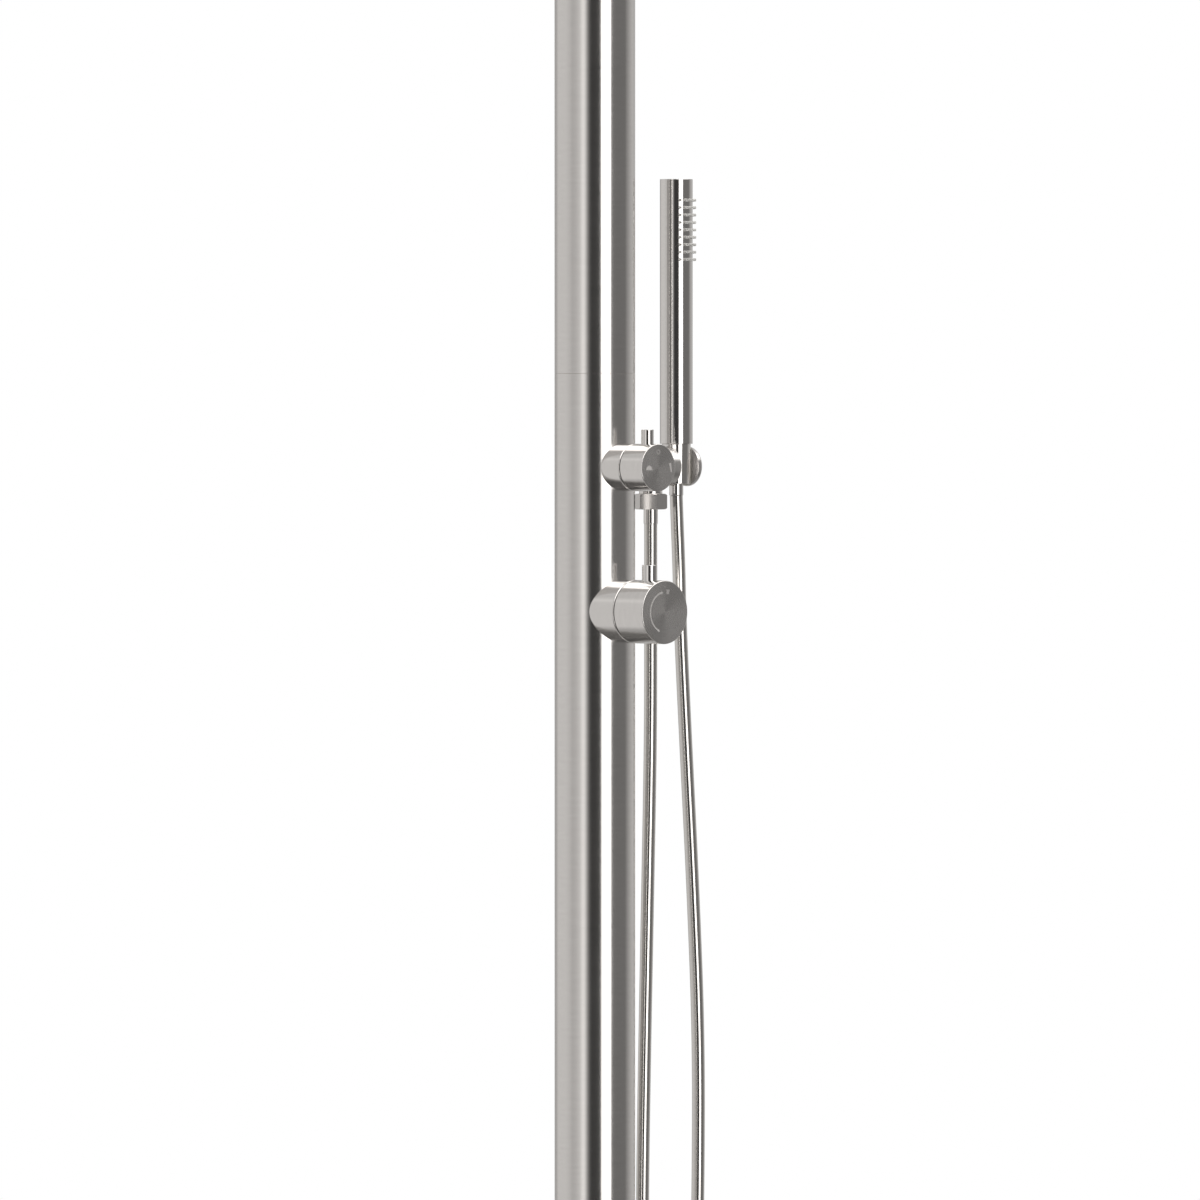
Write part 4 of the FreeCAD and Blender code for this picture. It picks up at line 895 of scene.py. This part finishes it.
def plate(skin, left, right, face, centre_height, faint=False):
    """A thin closed strip between two rows of points, given in metres right and up of the axis
    as seen facing the knob. Face is how far the knob's face stands in front of the column."""
    made_before = len(skin.faces)
    rows = []
    for depth in (face - MARK_SINK, face + MARK_LIFT):
        rows.append([[skin.verts.new((u, -depth, centre_height + v)) for u, v in row]
                     for row in (left, right)])
    (back_left, back_right), (front_left, front_right) = rows
    last = len(left) - 1
    for i in range(last):
        skin.faces.new((front_left[i], front_right[i], front_right[i + 1], front_left[i + 1]))
        skin.faces.new((back_left[i], back_left[i + 1], back_right[i + 1], back_right[i]))
        skin.faces.new((front_left[i], front_left[i + 1], back_left[i + 1], back_left[i]))
        skin.faces.new((front_right[i], back_right[i], back_right[i + 1], front_right[i + 1]))
    skin.faces.new((front_left[0], back_left[0], back_right[0], front_right[0]))
    skin.faces.new((front_left[last], front_right[last], back_right[last], back_left[last]))
    skin.faces.ensure_lookup_table()
    for made_face in skin.faces[made_before:]:
        made_face.material_index = int(faint)


def on_dial(radius, degrees_left):
    """A point on the face, given by its distance from the axis and degrees left of the top."""
    angle = math.radians(degrees_left)
    return (-radius * math.sin(angle), radius * math.cos(angle))


def marks_piece(name, draw):
    """The plates that draw(skin, face, height) makes on a knob, as one piece."""
    knob_low, knob_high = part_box(name + "_knob")
    skin = bmesh.new()
    draw(skin, -knob_low.y, (knob_low.z + knob_high.z) / 2)
    bmesh.ops.recalc_face_normals(skin, faces=skin.faces)
    mesh = bpy.data.meshes.new(name + "_marks")
    skin.to_mesh(mesh)
    skin.free()
    shades = [face.material_index for face in mesh.polygons]
    made = piece(name + "_marks", mesh, etched, name + "_handle")
    mesh.materials.append(faint_etched)
    mesh.polygons.foreach_set("material_index", shades)
    mesh.update()
    print(made.name, "has", sum(shades), "faint faces")


print("plates stand", MARK_LIFT / MM, "mm out")

# %% Mixer marks
ARC_RADIUS = 15.0 * MM
ARC_WIDTH = 1.0 * MM
ARC_FROM, ARC_TO = 14.0, 153.0
ARC_STEPS = 32
ARROW_LENGTH = 6.0
ARROW_WIDTH = 2.6 * MM
ARROW_TIP = ARROW_WIDTH / 20
COLD_RADIUS, COLD_TURN = 15.5 * MM, -11.0
COLD_HALF_WIDE, COLD_TALL = 1.45 * MM, 3.4 * MM
DOT_RADIUS, DOT_HALF = 19.0 * MM, 0.5 * MM


def mixer_marks(skin, face, height):
    turns = [ARC_FROM + (ARC_TO - ARC_FROM) * i / ARC_STEPS for i in range(ARC_STEPS + 1)]
    inner = [on_dial(ARC_RADIUS - ARC_WIDTH / 2, t) for t in turns]
    outer = [on_dial(ARC_RADIUS + ARC_WIDTH / 2, t) for t in turns]
    plate(skin, inner, outer, face, height)
    for end, way in ((ARC_FROM, -1), (ARC_TO, 1)):
        stops = ((end, ARROW_WIDTH / 2), (end + way * ARROW_LENGTH, ARROW_TIP / 2))
        plate(skin, [on_dial(ARC_RADIUS - half, t) for t, half in stops],
              [on_dial(ARC_RADIUS + half, t) for t, half in stops], face, height)
    spread = math.degrees(COLD_HALF_WIDE / COLD_RADIUS)
    sides = [COLD_TURN - spread, COLD_TURN + spread]
    plate(skin, [on_dial(COLD_RADIUS - COLD_TALL / 2, t) for t in sides],
          [on_dial(COLD_RADIUS + COLD_TALL / 2, t) for t in sides], face, height, faint=True)
    low, high = DOT_RADIUS - DOT_HALF, DOT_RADIUS + DOT_HALF
    plate(skin, [(-DOT_HALF, low), (-DOT_HALF, high)], [(DOT_HALF, low), (DOT_HALF, high)],
          face, height, faint=True)


marks_piece("mixer", mixer_marks)

# %% Diverter marks
OFF_UP, OFF_RADIUS, OFF_WIDTH = 11.7 * MM, 1.9 * MM, 0.7 * MM
OFF_STEPS = 24
DOME_OUT, DOME_HALF_WIDE, DOME_TALL = 9.4 * MM, 3.2 * MM, 3.3 * MM
DOME_STEPS = 16
# The dome's ends stop short of the level, so that its foot keeps a height
DOME_SHORT = 0.02
DOME_FOOT = 0.1 * MM
STICK_OUT, STICK_LONG = 12.8 * MM, 6.8 * MM
STICK_TOP, STICK_LOW = 2.1 * MM, 1.1 * MM
STICK_LEAN = math.radians(11.0)


def diverter_marks(skin, face, height):
    turns = [math.tau * i / OFF_STEPS for i in range(OFF_STEPS)]
    turns.append(turns[0])
    rings = [[(r * math.sin(t), OFF_UP + r * math.cos(t)) for t in turns]
             for r in (OFF_RADIUS - OFF_WIDTH, OFF_RADIUS)]
    plate(skin, *rings, face, height, faint=True)
    shares = [DOME_SHORT + (1 - 2 * DOME_SHORT) * i / DOME_STEPS for i in range(DOME_STEPS + 1)]
    roof = [(-DOME_OUT - DOME_HALF_WIDE * math.cos(math.pi * share),
             DOME_TALL * math.sin(math.pi * share) - DOME_TALL / 2) for share in shares]
    foot = [(u, -DOME_TALL / 2 - DOME_FOOT) for u, _ in roof]
    plate(skin, foot, roof, face, height)
    along = Vector((math.sin(STICK_LEAN), -math.cos(STICK_LEAN)))
    beside = Vector((along.y, -along.x))
    middle = Vector((STICK_OUT, 0))
    half_long = along * STICK_LONG / 2
    ends = [(middle - half_long, STICK_TOP), (middle + half_long, STICK_LOW)]
    plate(skin, [tuple(p - beside * w / 2) for p, w in ends],
          [tuple(p + beside * w / 2) for p, w in ends], face, height)


marks_piece("diverter", diverter_marks)

# %% [markdown]
# ## Side bar
# The bar feeds the hose and holds the handset: a 30 mm round with a rounded end, bored with a
# slightly conical hole that is open to the front, so the hose can slip in. Its skin comes from
# the frame, because the bore and the slot meet it in curves that a lathe can't make. The walls
# inside are plainly milled, without the brushing.

# %% Side bar
bar_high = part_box("side_bar")[1]
bar_skin = copied("side_bar", (0, 0, bar_middle.z), "side")
side_bar = piece("shown_side_bar", bar_skin, bar_steel,
                 replaces=["side_bar"])
END_ZONE = 3.0 * MM
ALMOST_ONE = 0.99


def inside_the_holder(normal, middle):
    """True on the walls of the bore and the slot, which are neither the bar's outer round nor
    its rounded end."""
    outward = Vector((0, middle.y, middle.z - bar_middle.z)).normalized()
    straight_out = normal.dot(outward)
    at_end = middle.x > bar_high.x - END_ZONE and normal.x >= 0
    on_end = at_end and math.hypot(straight_out, normal.x) > ALMOST_ONE
    return straight_out < ALMOST_ONE and not on_end


finish_part_of(side_bar, cad_steel, inside_the_holder)

# %% [markdown]
# ## Hose outlet
# Under the bar sits a short collar, a hexagon nut and the hose's crimped ferrule. Collar and
# ferrule are turned. A nut is a hexagonal prism whose corners are cut back by a cone at both
# ends. Two cuts could make that, but the cone's height at each turn is a plain formula, so the
# nut's walls are written down with their curved ends, and only its true edges are sharp.

# %% Outlet collar and ferrule
collar_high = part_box("outlet_nipple")[1]
nut_low, nut_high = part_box("hose_nut")
outlet_x = middle_of("hose_nut").x
bar_radius = bar_high.y
collar_end = bar_middle.z - nut_high.z
turned_piece(
    "shown_outlet_collar",
    [(0, 0, 0), (collar_high.y, 0, 0), (collar_high.y, collar_end, SMALL_BEVEL),
     (0, collar_end, 0)],
    polished_steel, "polished_steel", replaces=["outlet_nipple"], axis="down",
    centre=(outlet_x, 0, bar_middle.z), root=bar_radius - ROOT_SINK)

FERRULE_RADIUS = 5.35 * MM
FERRULE_ROUND = 0.6 * MM
HIDDEN_LAP = 1 * MM
ferrule_top = nut_low.z + HIDDEN_LAP
outlet_ferrule = turned_piece(
    "shown_outlet_ferrule",
    [(0, outlet.z, 0), (FERRULE_RADIUS, outlet.z, FERRULE_ROUND),
     (FERRULE_RADIUS, ferrule_top, 0), (0, ferrule_top, 0)],
    polished_steel, "polished_steel", replaces=["outlet_ferrule"],
    centre=(outlet_x, 0, 0), sides=SMALL_ROUND)

# %% Hexagon nut
NUT_FLAT = 10.9 * MM
NUT_TURN = math.radians(6.0)
NUT_BEVEL = 1.0 * MM
NUT_STEPS = 12
SHARP_EDGE = math.radians(18.0)


def hexagon_nut():
    """A hexagonal prism whose corners are cut back by a cone at both ends."""
    corner = NUT_FLAT / math.cos(math.pi / 6)
    count = 6 * NUT_STEPS
    turns = [math.tau * step / count for step in range(count)]
    reaches = [NUT_FLAT / math.cos(turn % (math.pi / 3) - math.pi / 6) for turn in turns]
    bevels = [NUT_BEVEL * (reach - NUT_FLAT) / (corner - NUT_FLAT) for reach in reaches]
    middle = Vector((outlet_x, 0, 0))
    skin = bmesh.new()
    rows = []
    for end_height, way in ((nut_low.z, 1), (nut_high.z, -1)):
        flat_row, full_row = [], []
        for turn, reach, bevel in zip(turns, reaches, bevels):
            outward = Vector((math.cos(turn + NUT_TURN), math.sin(turn + NUT_TURN), 0))
            end = middle + UP * end_height
            flat_row.append(skin.verts.new(end + outward * NUT_FLAT))
            full_row.append(skin.verts.new(end + outward * reach + UP * bevel * way))
        rows += [flat_row, full_row][::way]
    for low_row, high_row in zip(rows, rows[1:]):
        for k in range(count):
            n = (k + 1) % count
            skin.faces.new((low_row[k], low_row[n], high_row[n], high_row[k]))
    skin.faces.new(rows[-1])
    skin.faces.new(rows[0][::-1])
    bmesh.ops.remove_doubles(skin, verts=skin.verts, dist=MERGE_DISTANCE)
    mesh = bpy.data.meshes.new("hose_nut")
    skin.to_mesh(mesh)
    skin.free()
    mesh.shade_smooth()
    mesh.set_sharp_from_angle(angle=SHARP_EDGE)
    wrap_round(mesh, middle, "up")
    return mesh


piece("shown_hose_nut", hexagon_nut(), nut_steel, replaces=["hose_nut"])

# %% [markdown]
# ## Cone nut and handset
# The hose ends in a cone nut that sits in the bar's bore. The handset screws into it: a plain
# polished tube whose cap lies a little below its rim. All of them are turned. The tube is a
# closed section with a wall, so that the rim at its top is real.

# %% Cone nut, hose end and handset
cone_low, cone_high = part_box("cone_nut")
holder_x = middle_of("cone_nut").x
on_handset = {"centre": (holder_x, 0, 0)}
CONE_BOTTOM_RADIUS = 10.1 * MM
CONE_EDGE = 0.35 * MM
turned_piece(
    "shown_cone_nut",
    [(0, cone_low.z, 0), (CONE_BOTTOM_RADIUS, cone_low.z, CONE_EDGE),
     (cone_high.x - holder_x, cone_high.z, CONE_EDGE), (0, cone_high.z, 0)],
    polished_steel, "polished_steel", "handset", ["cone_nut"], **on_handset)

END_FERRULE_RADIUS = 5.3 * MM
end_top = cone_low.z + HIDDEN_LAP
end_ferrule = turned_piece(
    "shown_hose_end_ferrule",
    [(0, hose_end.z, 0), (END_FERRULE_RADIUS, hose_end.z, FERRULE_ROUND),
     (END_FERRULE_RADIUS, end_top, 0), (0, end_top, 0)],
    polished_steel, "polished_steel", "hose_end", ["hose_end_ferrule"], sides=SMALL_ROUND,
    **on_handset)

tube_low, tube_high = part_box("handset_tube")
TUBE_EDGE = 0.35 * MM
HANDSET_WALL = 1.35 * MM
CAP_RECESS = 0.25 * MM
CAP_DEPTH = 6 * MM
tube_radius = tube_high.x - holder_x
tube_inside = tube_radius - HANDSET_WALL
turned_piece(
    "shown_handset_tube",
    [(tube_inside, tube_low.z, 0), (tube_radius, tube_low.z, TUBE_EDGE),
     (tube_radius, tube_high.z, TUBE_EDGE), (tube_inside, tube_high.z, TUBE_EDGE)],
    polished_steel, "polished_steel", "handset", ["handset_tube"], closed=True, **on_handset)
turned_piece(
    "shown_handset_cap",
    [(0, tube_high.z - CAP_DEPTH, 0), (tube_inside, tube_high.z - CAP_DEPTH, 0),
     (tube_inside, tube_high.z - CAP_RECESS, SMALL_BEVEL), (0, tube_high.z - CAP_RECESS, 0)],
    satin_face, "polished_steel", "handset", ["handset_cap"], **on_handset)

# %% [markdown]
# ## Nozzles
# The handset has 9 rows of 4 nozzles and the rain head 91 in rings. Repeats like these are what
# Geometry Nodes are for: one small group makes the nozzle, a soft cone with a dimple in its tip,
# and two more place it, one on a tube and one in rings. Counts, pitches and sizes are inputs, so
# another handset would only need other numbers.

# %% Shorthand for geometry trees
def new_geometry_group(name, inputs):
    """A geometry group with named inputs, given as (label, kind, value)."""
    group = bpy.data.node_groups.new(name, "GeometryNodeTree")
    for label, kind, value in inputs:
        socket = group.interface.new_socket(label, in_out="INPUT", socket_type=kind)
        if value is not None:
            socket.default_value = value
    group.interface.new_socket("Geometry", in_out="OUTPUT", socket_type="NodeSocketGeometry")
    return group, node(group, "NodeGroupInput"), node(group, "NodeGroupOutput")


FLOAT, WHOLE, STUFF = "NodeSocketFloat", "NodeSocketInt", "NodeSocketMaterial"
print("geometry shorthand ready")

# %% One nozzle
DIMPLE_WIDTH = 0.5
DIMPLE_DEPTH = -0.35
NOZZLE_TAPER = 0.8
nozzle_group, given, result = new_geometry_group(
    "nozzle", [("Radius", FLOAT, 0.001), ("Length", FLOAT, 0.002), ("Sides", WHOLE, 14)])
radius, length, nozzle_sides = given.outputs[:3]
cone = node(nozzle_group, "GeometryNodeMeshCone", {
    "Vertices": nozzle_sides, "Radius Bottom": radius, "Depth": length,
    "Radius Top": math_node(nozzle_group, "MULTIPLY", radius, NOZZLE_TAPER)})
tip = node(nozzle_group, "GeometryNodeExtrudeMesh", {
    "Mesh": cone.outputs["Mesh"], "Selection": cone.outputs["Top"], "Offset Scale": 0.0})
narrowed = node(nozzle_group, "GeometryNodeScaleElements", {
    "Geometry": tip.outputs["Mesh"], "Selection": tip.outputs["Top"], "Scale": DIMPLE_WIDTH})
dimple = node(nozzle_group, "GeometryNodeExtrudeMesh", {
    "Mesh": narrowed.outputs[0], "Selection": tip.outputs["Top"],
    "Offset Scale": math_node(nozzle_group, "MULTIPLY", length, DIMPLE_DEPTH)})
feed(nozzle_group, result, {"Geometry": dimple.outputs["Mesh"]})
print("group", nozzle_group.name)


# %% Placing nozzles and keeping them as a piece
def place_nozzles(group, given, result, count, place, turn):
    """Ends a group with nozzles, at a place and turn worked out from each one's number."""
    points = node(group, "GeometryNodeMeshLine", {"Count": count})
    moved = node(group, "GeometryNodeSetPosition",
                 {"Geometry": points.outputs[0], "Position": place})
    shape = node(group, "GeometryNodeGroup",
                 {"Radius": given.outputs["Radius"], "Length": given.outputs["Length"]},
                 node_tree=nozzle_group)
    copies = node(group, "GeometryNodeInstanceOnPoints", {
        "Points": moved.outputs[0], "Instance": shape.outputs[0], "Rotation": turn})
    real = node(group, "GeometryNodeRealizeInstances", {0: copies.outputs[0]})
    coat = node(group, "GeometryNodeSetMaterial",
                {"Geometry": real.outputs[0], "Material": given.outputs["Material"]})
    feed(group, result, {"Geometry": coat.outputs[0]})


def grown(name, group, values, finish, body, replaces):
    """Runs a geometry group on an empty mesh and keeps the result as a plain piece."""
    seed = bpy.data.objects.new(name + "_seed", bpy.data.meshes.new(name + "_seed"))
    scene.collection.objects.link(seed)
    modifier = seed.modifiers.new("grow", "NODES")
    modifier.node_group = group
    values = {"Material": finish, **values}
    for item in group.interface.items_tree:
        if item.in_out == "INPUT" and item.name in values:
            modifier[item.identifier] = values[item.name]
    bpy.context.view_layer.update()
    evaluated = seed.evaluated_get(bpy.context.evaluated_depsgraph_get())
    mesh = bpy.data.meshes.new_from_object(evaluated)
    bpy.data.objects.remove(seed)
    mesh.name = name
    return piece(name, mesh, finish, body, replaces)


print("nozzle placing ready")

# %% Nozzles on the handset
tube_nozzles, given, result = new_geometry_group("tube_nozzles", [
    ("Material", STUFF, None), ("Rows", WHOLE, 9), ("Columns", WHOLE, 4), ("Pitch", FLOAT, 0.005),
    ("Angle Step", FLOAT, 0.4), ("Turn", FLOAT, 0.0), ("Tube Radius", FLOAT, 0.012),
    ("Top Height", FLOAT, 1.3), ("Tube X", FLOAT, 0.08), ("Radius", FLOAT, 0.001),
    ("Length", FLOAT, 0.002)])
calc = partial(math_node, tube_nozzles)
number = node(tube_nozzles, "GeometryNodeInputIndex").outputs[0]
columns = given.outputs["Columns"]
row = calc("FLOOR", calc("DIVIDE", number, columns))
column = calc("MODULO", number, columns)
middle_column = calc("DIVIDE", calc("SUBTRACT", columns, 1.0), 2.0)
swing = calc("MULTIPLY_ADD", calc("SUBTRACT", column, middle_column),
             given.outputs["Angle Step"], given.outputs["Turn"])
out_x = calc("MULTIPLY", calc("SINE", swing), given.outputs["Tube Radius"])
out_front = calc("MULTIPLY", calc("COSINE", swing), given.outputs["Tube Radius"])
drop = calc("MULTIPLY", row, given.outputs["Pitch"])
spot = node(tube_nozzles, "ShaderNodeCombineXYZ", {
    "X": calc("ADD", out_x, given.outputs["Tube X"]),
    "Y": calc("MULTIPLY", out_front, -1.0),
    "Z": calc("SUBTRACT", given.outputs["Top Height"], drop)})
lean = node(tube_nozzles, "ShaderNodeCombineXYZ", {"X": math.pi / 2, "Z": swing})
count = calc("MULTIPLY", given.outputs["Rows"], columns)
place_nozzles(tube_nozzles, given, result, count, spot.outputs[0], lean.outputs[0])

TOP_NOZZLE_DROP = 15.9 * MM
NOZZLE_PITCH = 5.58 * MM
NOZZLE_RADIUS = 1.25 * MM
NOZZLE_STANDOUT = 3.0 * MM
NOZZLE_SINK = 0.4 * MM
NOZZLE_STEP = math.radians(20.5)
NOZZLE_TURN = math.radians(-1.5)
grown("shown_handset_nozzles", tube_nozzles, {
    "Rows": 9, "Columns": 4, "Pitch": NOZZLE_PITCH, "Angle Step": NOZZLE_STEP,
    "Turn": NOZZLE_TURN, "Tube Radius": tube_radius - NOZZLE_SINK,
    "Top Height": tube_high.z - TOP_NOZZLE_DROP, "Tube X": holder_x, "Radius": NOZZLE_RADIUS,
    "Length": NOZZLE_STANDOUT + NOZZLE_SINK},
    silicone, "handset", ["handset_nozzles"])

# %% [markdown]
# ## Tubes along a line
# The rain arm and the hose are rounds carried along a line. A curve's own bevel could do it, but
# it gives neither exact normals nor a map in metres. Rings are placed at the line's points
# instead, with a frame that turns no more than it must, so the wrap map doesn't twist.

# %% Sweeping a round along a path
TUBE_SIDES = 48


def swept(name, path, radius, sides=TUBE_SIDES):
    """A closed round tube along a path of points."""
    points, faces, normals, wraps, rings, reached = [], [], [], [], [], [0.0]
    for a, b in zip(path, path[1:]):
        reached.append(reached[-1] + (b - a).length)
    side = None
    for i, here in enumerate(path):
        behind, ahead_of = path[max(i - 1, 0)], path[min(i + 1, len(path) - 1)]
        tangent = (ahead_of - behind).normalized()
        if side is None:
            side = tangent.orthogonal()
        side = (side - tangent * side.dot(tangent)).normalized()
        over = tangent.cross(side)
        ring = [side * math.cos(math.tau * k / sides) + over * math.sin(math.tau * k / sides)
                for k in range(sides)]
        rings.append((tangent, ring))
        points += [here + outward * radius for outward in ring]
    for i in range(len(path) - 1):
        for k in range(sides):
            n = (k + 1) % sides
            corners = ((i, k, k), (i, n, k + 1), (i + 1, n, k + 1), (i + 1, k, k))
            for ring, spoke, turn in corners:
                normals.append(rings[ring][1][spoke])
                wraps.append((reached[ring], turn / sides))
            faces.append([ring * sides + spoke for ring, spoke, _ in corners])
    for ring, outward in ((0, -1), (len(path) - 1, 1)):
        spokes = range(sides) if outward > 0 else range(sides - 1, -1, -1)
        faces.append([ring * sides + k for k in spokes])
        normals += [rings[ring][0] * outward] * sides
        wraps += [(reached[ring], k / sides) for k in spokes]
    return mesh_of(name, points, faces, normals, wraps)


print("sweep ready")

# %% [markdown]
# ## Rain arm
# A tube leaves the column through a collar, runs forward and bends down to the rain head. It
# was bent from one straight tube, so its line is two straights and one true arc, and the sweep
# needs rings only at the arc and at the ends.

# %% Rain arm
arm_low, arm_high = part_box("rain_arm")
arm_radius = arm_high.x
arm_height = arm_high.z - arm_radius
arm_reach = -arm_low.y - arm_radius
ARM_BEND = 45 * MM
BEND_STEPS = 24
ARM_START = 10 * MM
bend_centre = Vector((0, -(arm_reach - ARM_BEND), arm_height - ARM_BEND))
arm_path = [Vector((0, -ARM_START, arm_height))]
for step in range(BEND_STEPS + 1):
    bent = math.pi / 2 * step / BEND_STEPS
    arm_path.append(bend_centre + Vector((0, -math.sin(bent), math.cos(bent))) * ARM_BEND)
arm_path.append(Vector((0, -arm_reach, arm_low.z)))
piece("shown_rain_arm", swept("rain_arm", arm_path, arm_radius, SMALL_ROUND), brushed_steel,
      replaces=["rain_arm"])
flange_low, flange_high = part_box("arm_collar")
turned_piece(
    "shown_arm_collar",
    [(arm_radius, 0, 0), (flange_high.x, 0, 0), (flange_high.x, -flange_low.y, KNOB_ROUND),
     (arm_radius, -flange_low.y, SMALL_BEVEL)],
    brushed_steel, "brushed_steel", replaces=["arm_collar"], axis="front",
    centre=(0, 0, arm_height), closed=True, root=column_radius - ROOT_SINK)

# %% [markdown]
# ## Rain head
# The head is a flat round shell of thin sheet on a ball joint, closed below by a plate that the
# nozzles of a soft mat come through. Shell and plate are turned, and both tilt with the head.
# The nozzles are the same group as the handset's, this time in rings of 6, 12, 18 and so on
# round one in the middle.

# %% Rain head's shell and face plate
shell_low, shell_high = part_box("head_shell")
head_radius = shell_high.x
HEAD_ROUND = 1.6 * MM
HEAD_WALL = 1.5 * MM
STEM_HOLE_RADIUS = 4.5 * MM
head_centre = (0, middle_of("head_shell").y, 0)
head_inner = head_radius - HEAD_WALL
head_under = shell_high.z - HEAD_WALL
turned_piece(
    "shown_head_shell",
    [(head_inner, shell_low.z, SMALL_BEVEL), (head_radius, shell_low.z, SMALL_BEVEL),
     (head_radius, shell_high.z, HEAD_ROUND), (STEM_HOLE_RADIUS, shell_high.z, 0),
     (STEM_HOLE_RADIUS, head_under, 0), (head_inner, head_under, 0)],
    satin_face, "brushed_steel", "rain_head", ["head_shell"], centre=head_centre, closed=True,
    sides=WIDE_ROUND)
plate_low, plate_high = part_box("head_plate")
turned_piece(
    "shown_head_plate",
    [(0, plate_low.z, 0), (plate_high.x, plate_low.z, SMALL_BEVEL),
     (plate_high.x, plate_high.z, 0), (0, plate_high.z, 0)],
    satin_face, "brushed_steel", "rain_head", ["head_plate"], centre=head_centre,
    sides=WIDE_ROUND)

# %% Nozzles on the rain head
ring_nozzles, given, result = new_geometry_group("ring_nozzles", [
    ("Material", STUFF, None), ("Rings", WHOLE, 5), ("Ring Pitch", FLOAT, 0.018),
    ("Face Height", FLOAT, 2.0), ("Middle Y", FLOAT, -0.37), ("Radius", FLOAT, 0.001),
    ("Length", FLOAT, 0.002)])
calc = partial(math_node, ring_nozzles)
number = node(ring_nozzles, "GeometryNodeInputIndex").outputs[0]
# Ring n holds 6 n nozzles, so the last number in it is 3 n (n + 1). Solved for n, and rounded
# up, that gives a number's ring. The small step down keeps a ring's last nozzle in its ring.
root = calc("SQRT", calc("MULTIPLY_ADD", number, 12.0, 9.0))
ring_share = calc("DIVIDE", calc("SUBTRACT", root, 3.0), 6.0)
ring_number = calc("CEIL", calc("SUBTRACT", ring_share, 0.001))
before_ring = calc("MULTIPLY", calc("MULTIPLY", ring_number, 3.0),
                   calc("SUBTRACT", ring_number, 1.0))
step_number = calc("SUBTRACT", calc("SUBTRACT", number, before_ring), 1.0)
swing = calc("DIVIDE", calc("MULTIPLY", step_number, math.pi / 3),
             calc("MAXIMUM", ring_number, 1.0))
ring_radius = calc("MULTIPLY", ring_number, given.outputs["Ring Pitch"])
out_y = calc("MULTIPLY", ring_radius, calc("SINE", swing))
spot = node(ring_nozzles, "ShaderNodeCombineXYZ", {
    "X": calc("MULTIPLY", ring_radius, calc("COSINE", swing)),
    "Y": calc("ADD", out_y, given.outputs["Middle Y"]),
    "Z": given.outputs["Face Height"]})
lean = node(ring_nozzles, "ShaderNodeCombineXYZ", {"X": math.pi})
rings = given.outputs["Rings"]
count = calc("ADD", calc("MULTIPLY", calc("MULTIPLY", rings, 3.0), calc("ADD", rings, 1.0)), 1.0)
place_nozzles(ring_nozzles, given, result, count, spot.outputs[0], lean.outputs[0])

HEAD_RING_PITCH = 18.5 * MM
HEAD_NOZZLE_RADIUS = 1.3 * MM
HEAD_NOZZLE_STANDOUT = 2.0 * MM
grown("shown_head_nozzles", ring_nozzles, {
    "Rings": 5, "Ring Pitch": HEAD_RING_PITCH, "Face Height": plate_low.z + NOZZLE_SINK,
    "Middle Y": head_centre[1], "Radius": HEAD_NOZZLE_RADIUS,
    "Length": HEAD_NOZZLE_STANDOUT + NOZZLE_SINK},
    silicone, "rain_head", ["head_nozzles"])

# %% [markdown]
# ## Hose
# The tube follows the line that was drawn at the start, from the outlet on the post to the
# hose's end at the handset. A mesh is laid along the line, and not a bevelled curve, because a
# mesh can carry the finish's own coordinates.

# %% Hose
hose_mesh = swept("hose", hose_path, HOSE_DIAMETER / 2)
hose_mesh.materials.append(hose_cover)
hose = bpy.data.objects.new("shown_hose", hose_mesh)
scene.collection.objects.link(hose)
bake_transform(hose)
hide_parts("hose")
print("hose of", len(hose_mesh.polygons), "faces")

# %% [markdown]
# ## What stays from the frame
# Pipes, valve bodies, seals and the ball joint are right as they are. Building them again would
# add nothing that shows, so they only take a finish for the material that the record gives them.

# %% Finishes for the frame's own pieces
KEPT_FINISHES = {
    "brushed_steel": cad_steel,
    "polished_steel": cad_polish,
    "pipe_steel": pipe_steel,
    "fitting_brass": brass,
    "seal_rubber": rubber,
    "dark_plastic": black_plastic,
    "hose_cover": hose_cover,
    "nozzle_silicone": silicone,
    "cartridge_plastic": cartridge,
}
kept = 0
for cad_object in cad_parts.values():
    for material_slot in cad_object.material_slots:
        base_name = material_slot.material.name.split(".")[0]
        material_slot.material = KEPT_FINISHES[base_name]
        kept += 1
print(kept, "frame pieces finished")

# %% [markdown]
# ## Size
# The dressed object must stay as large as the mechanical one.

# %% End of the build
print("scene built")
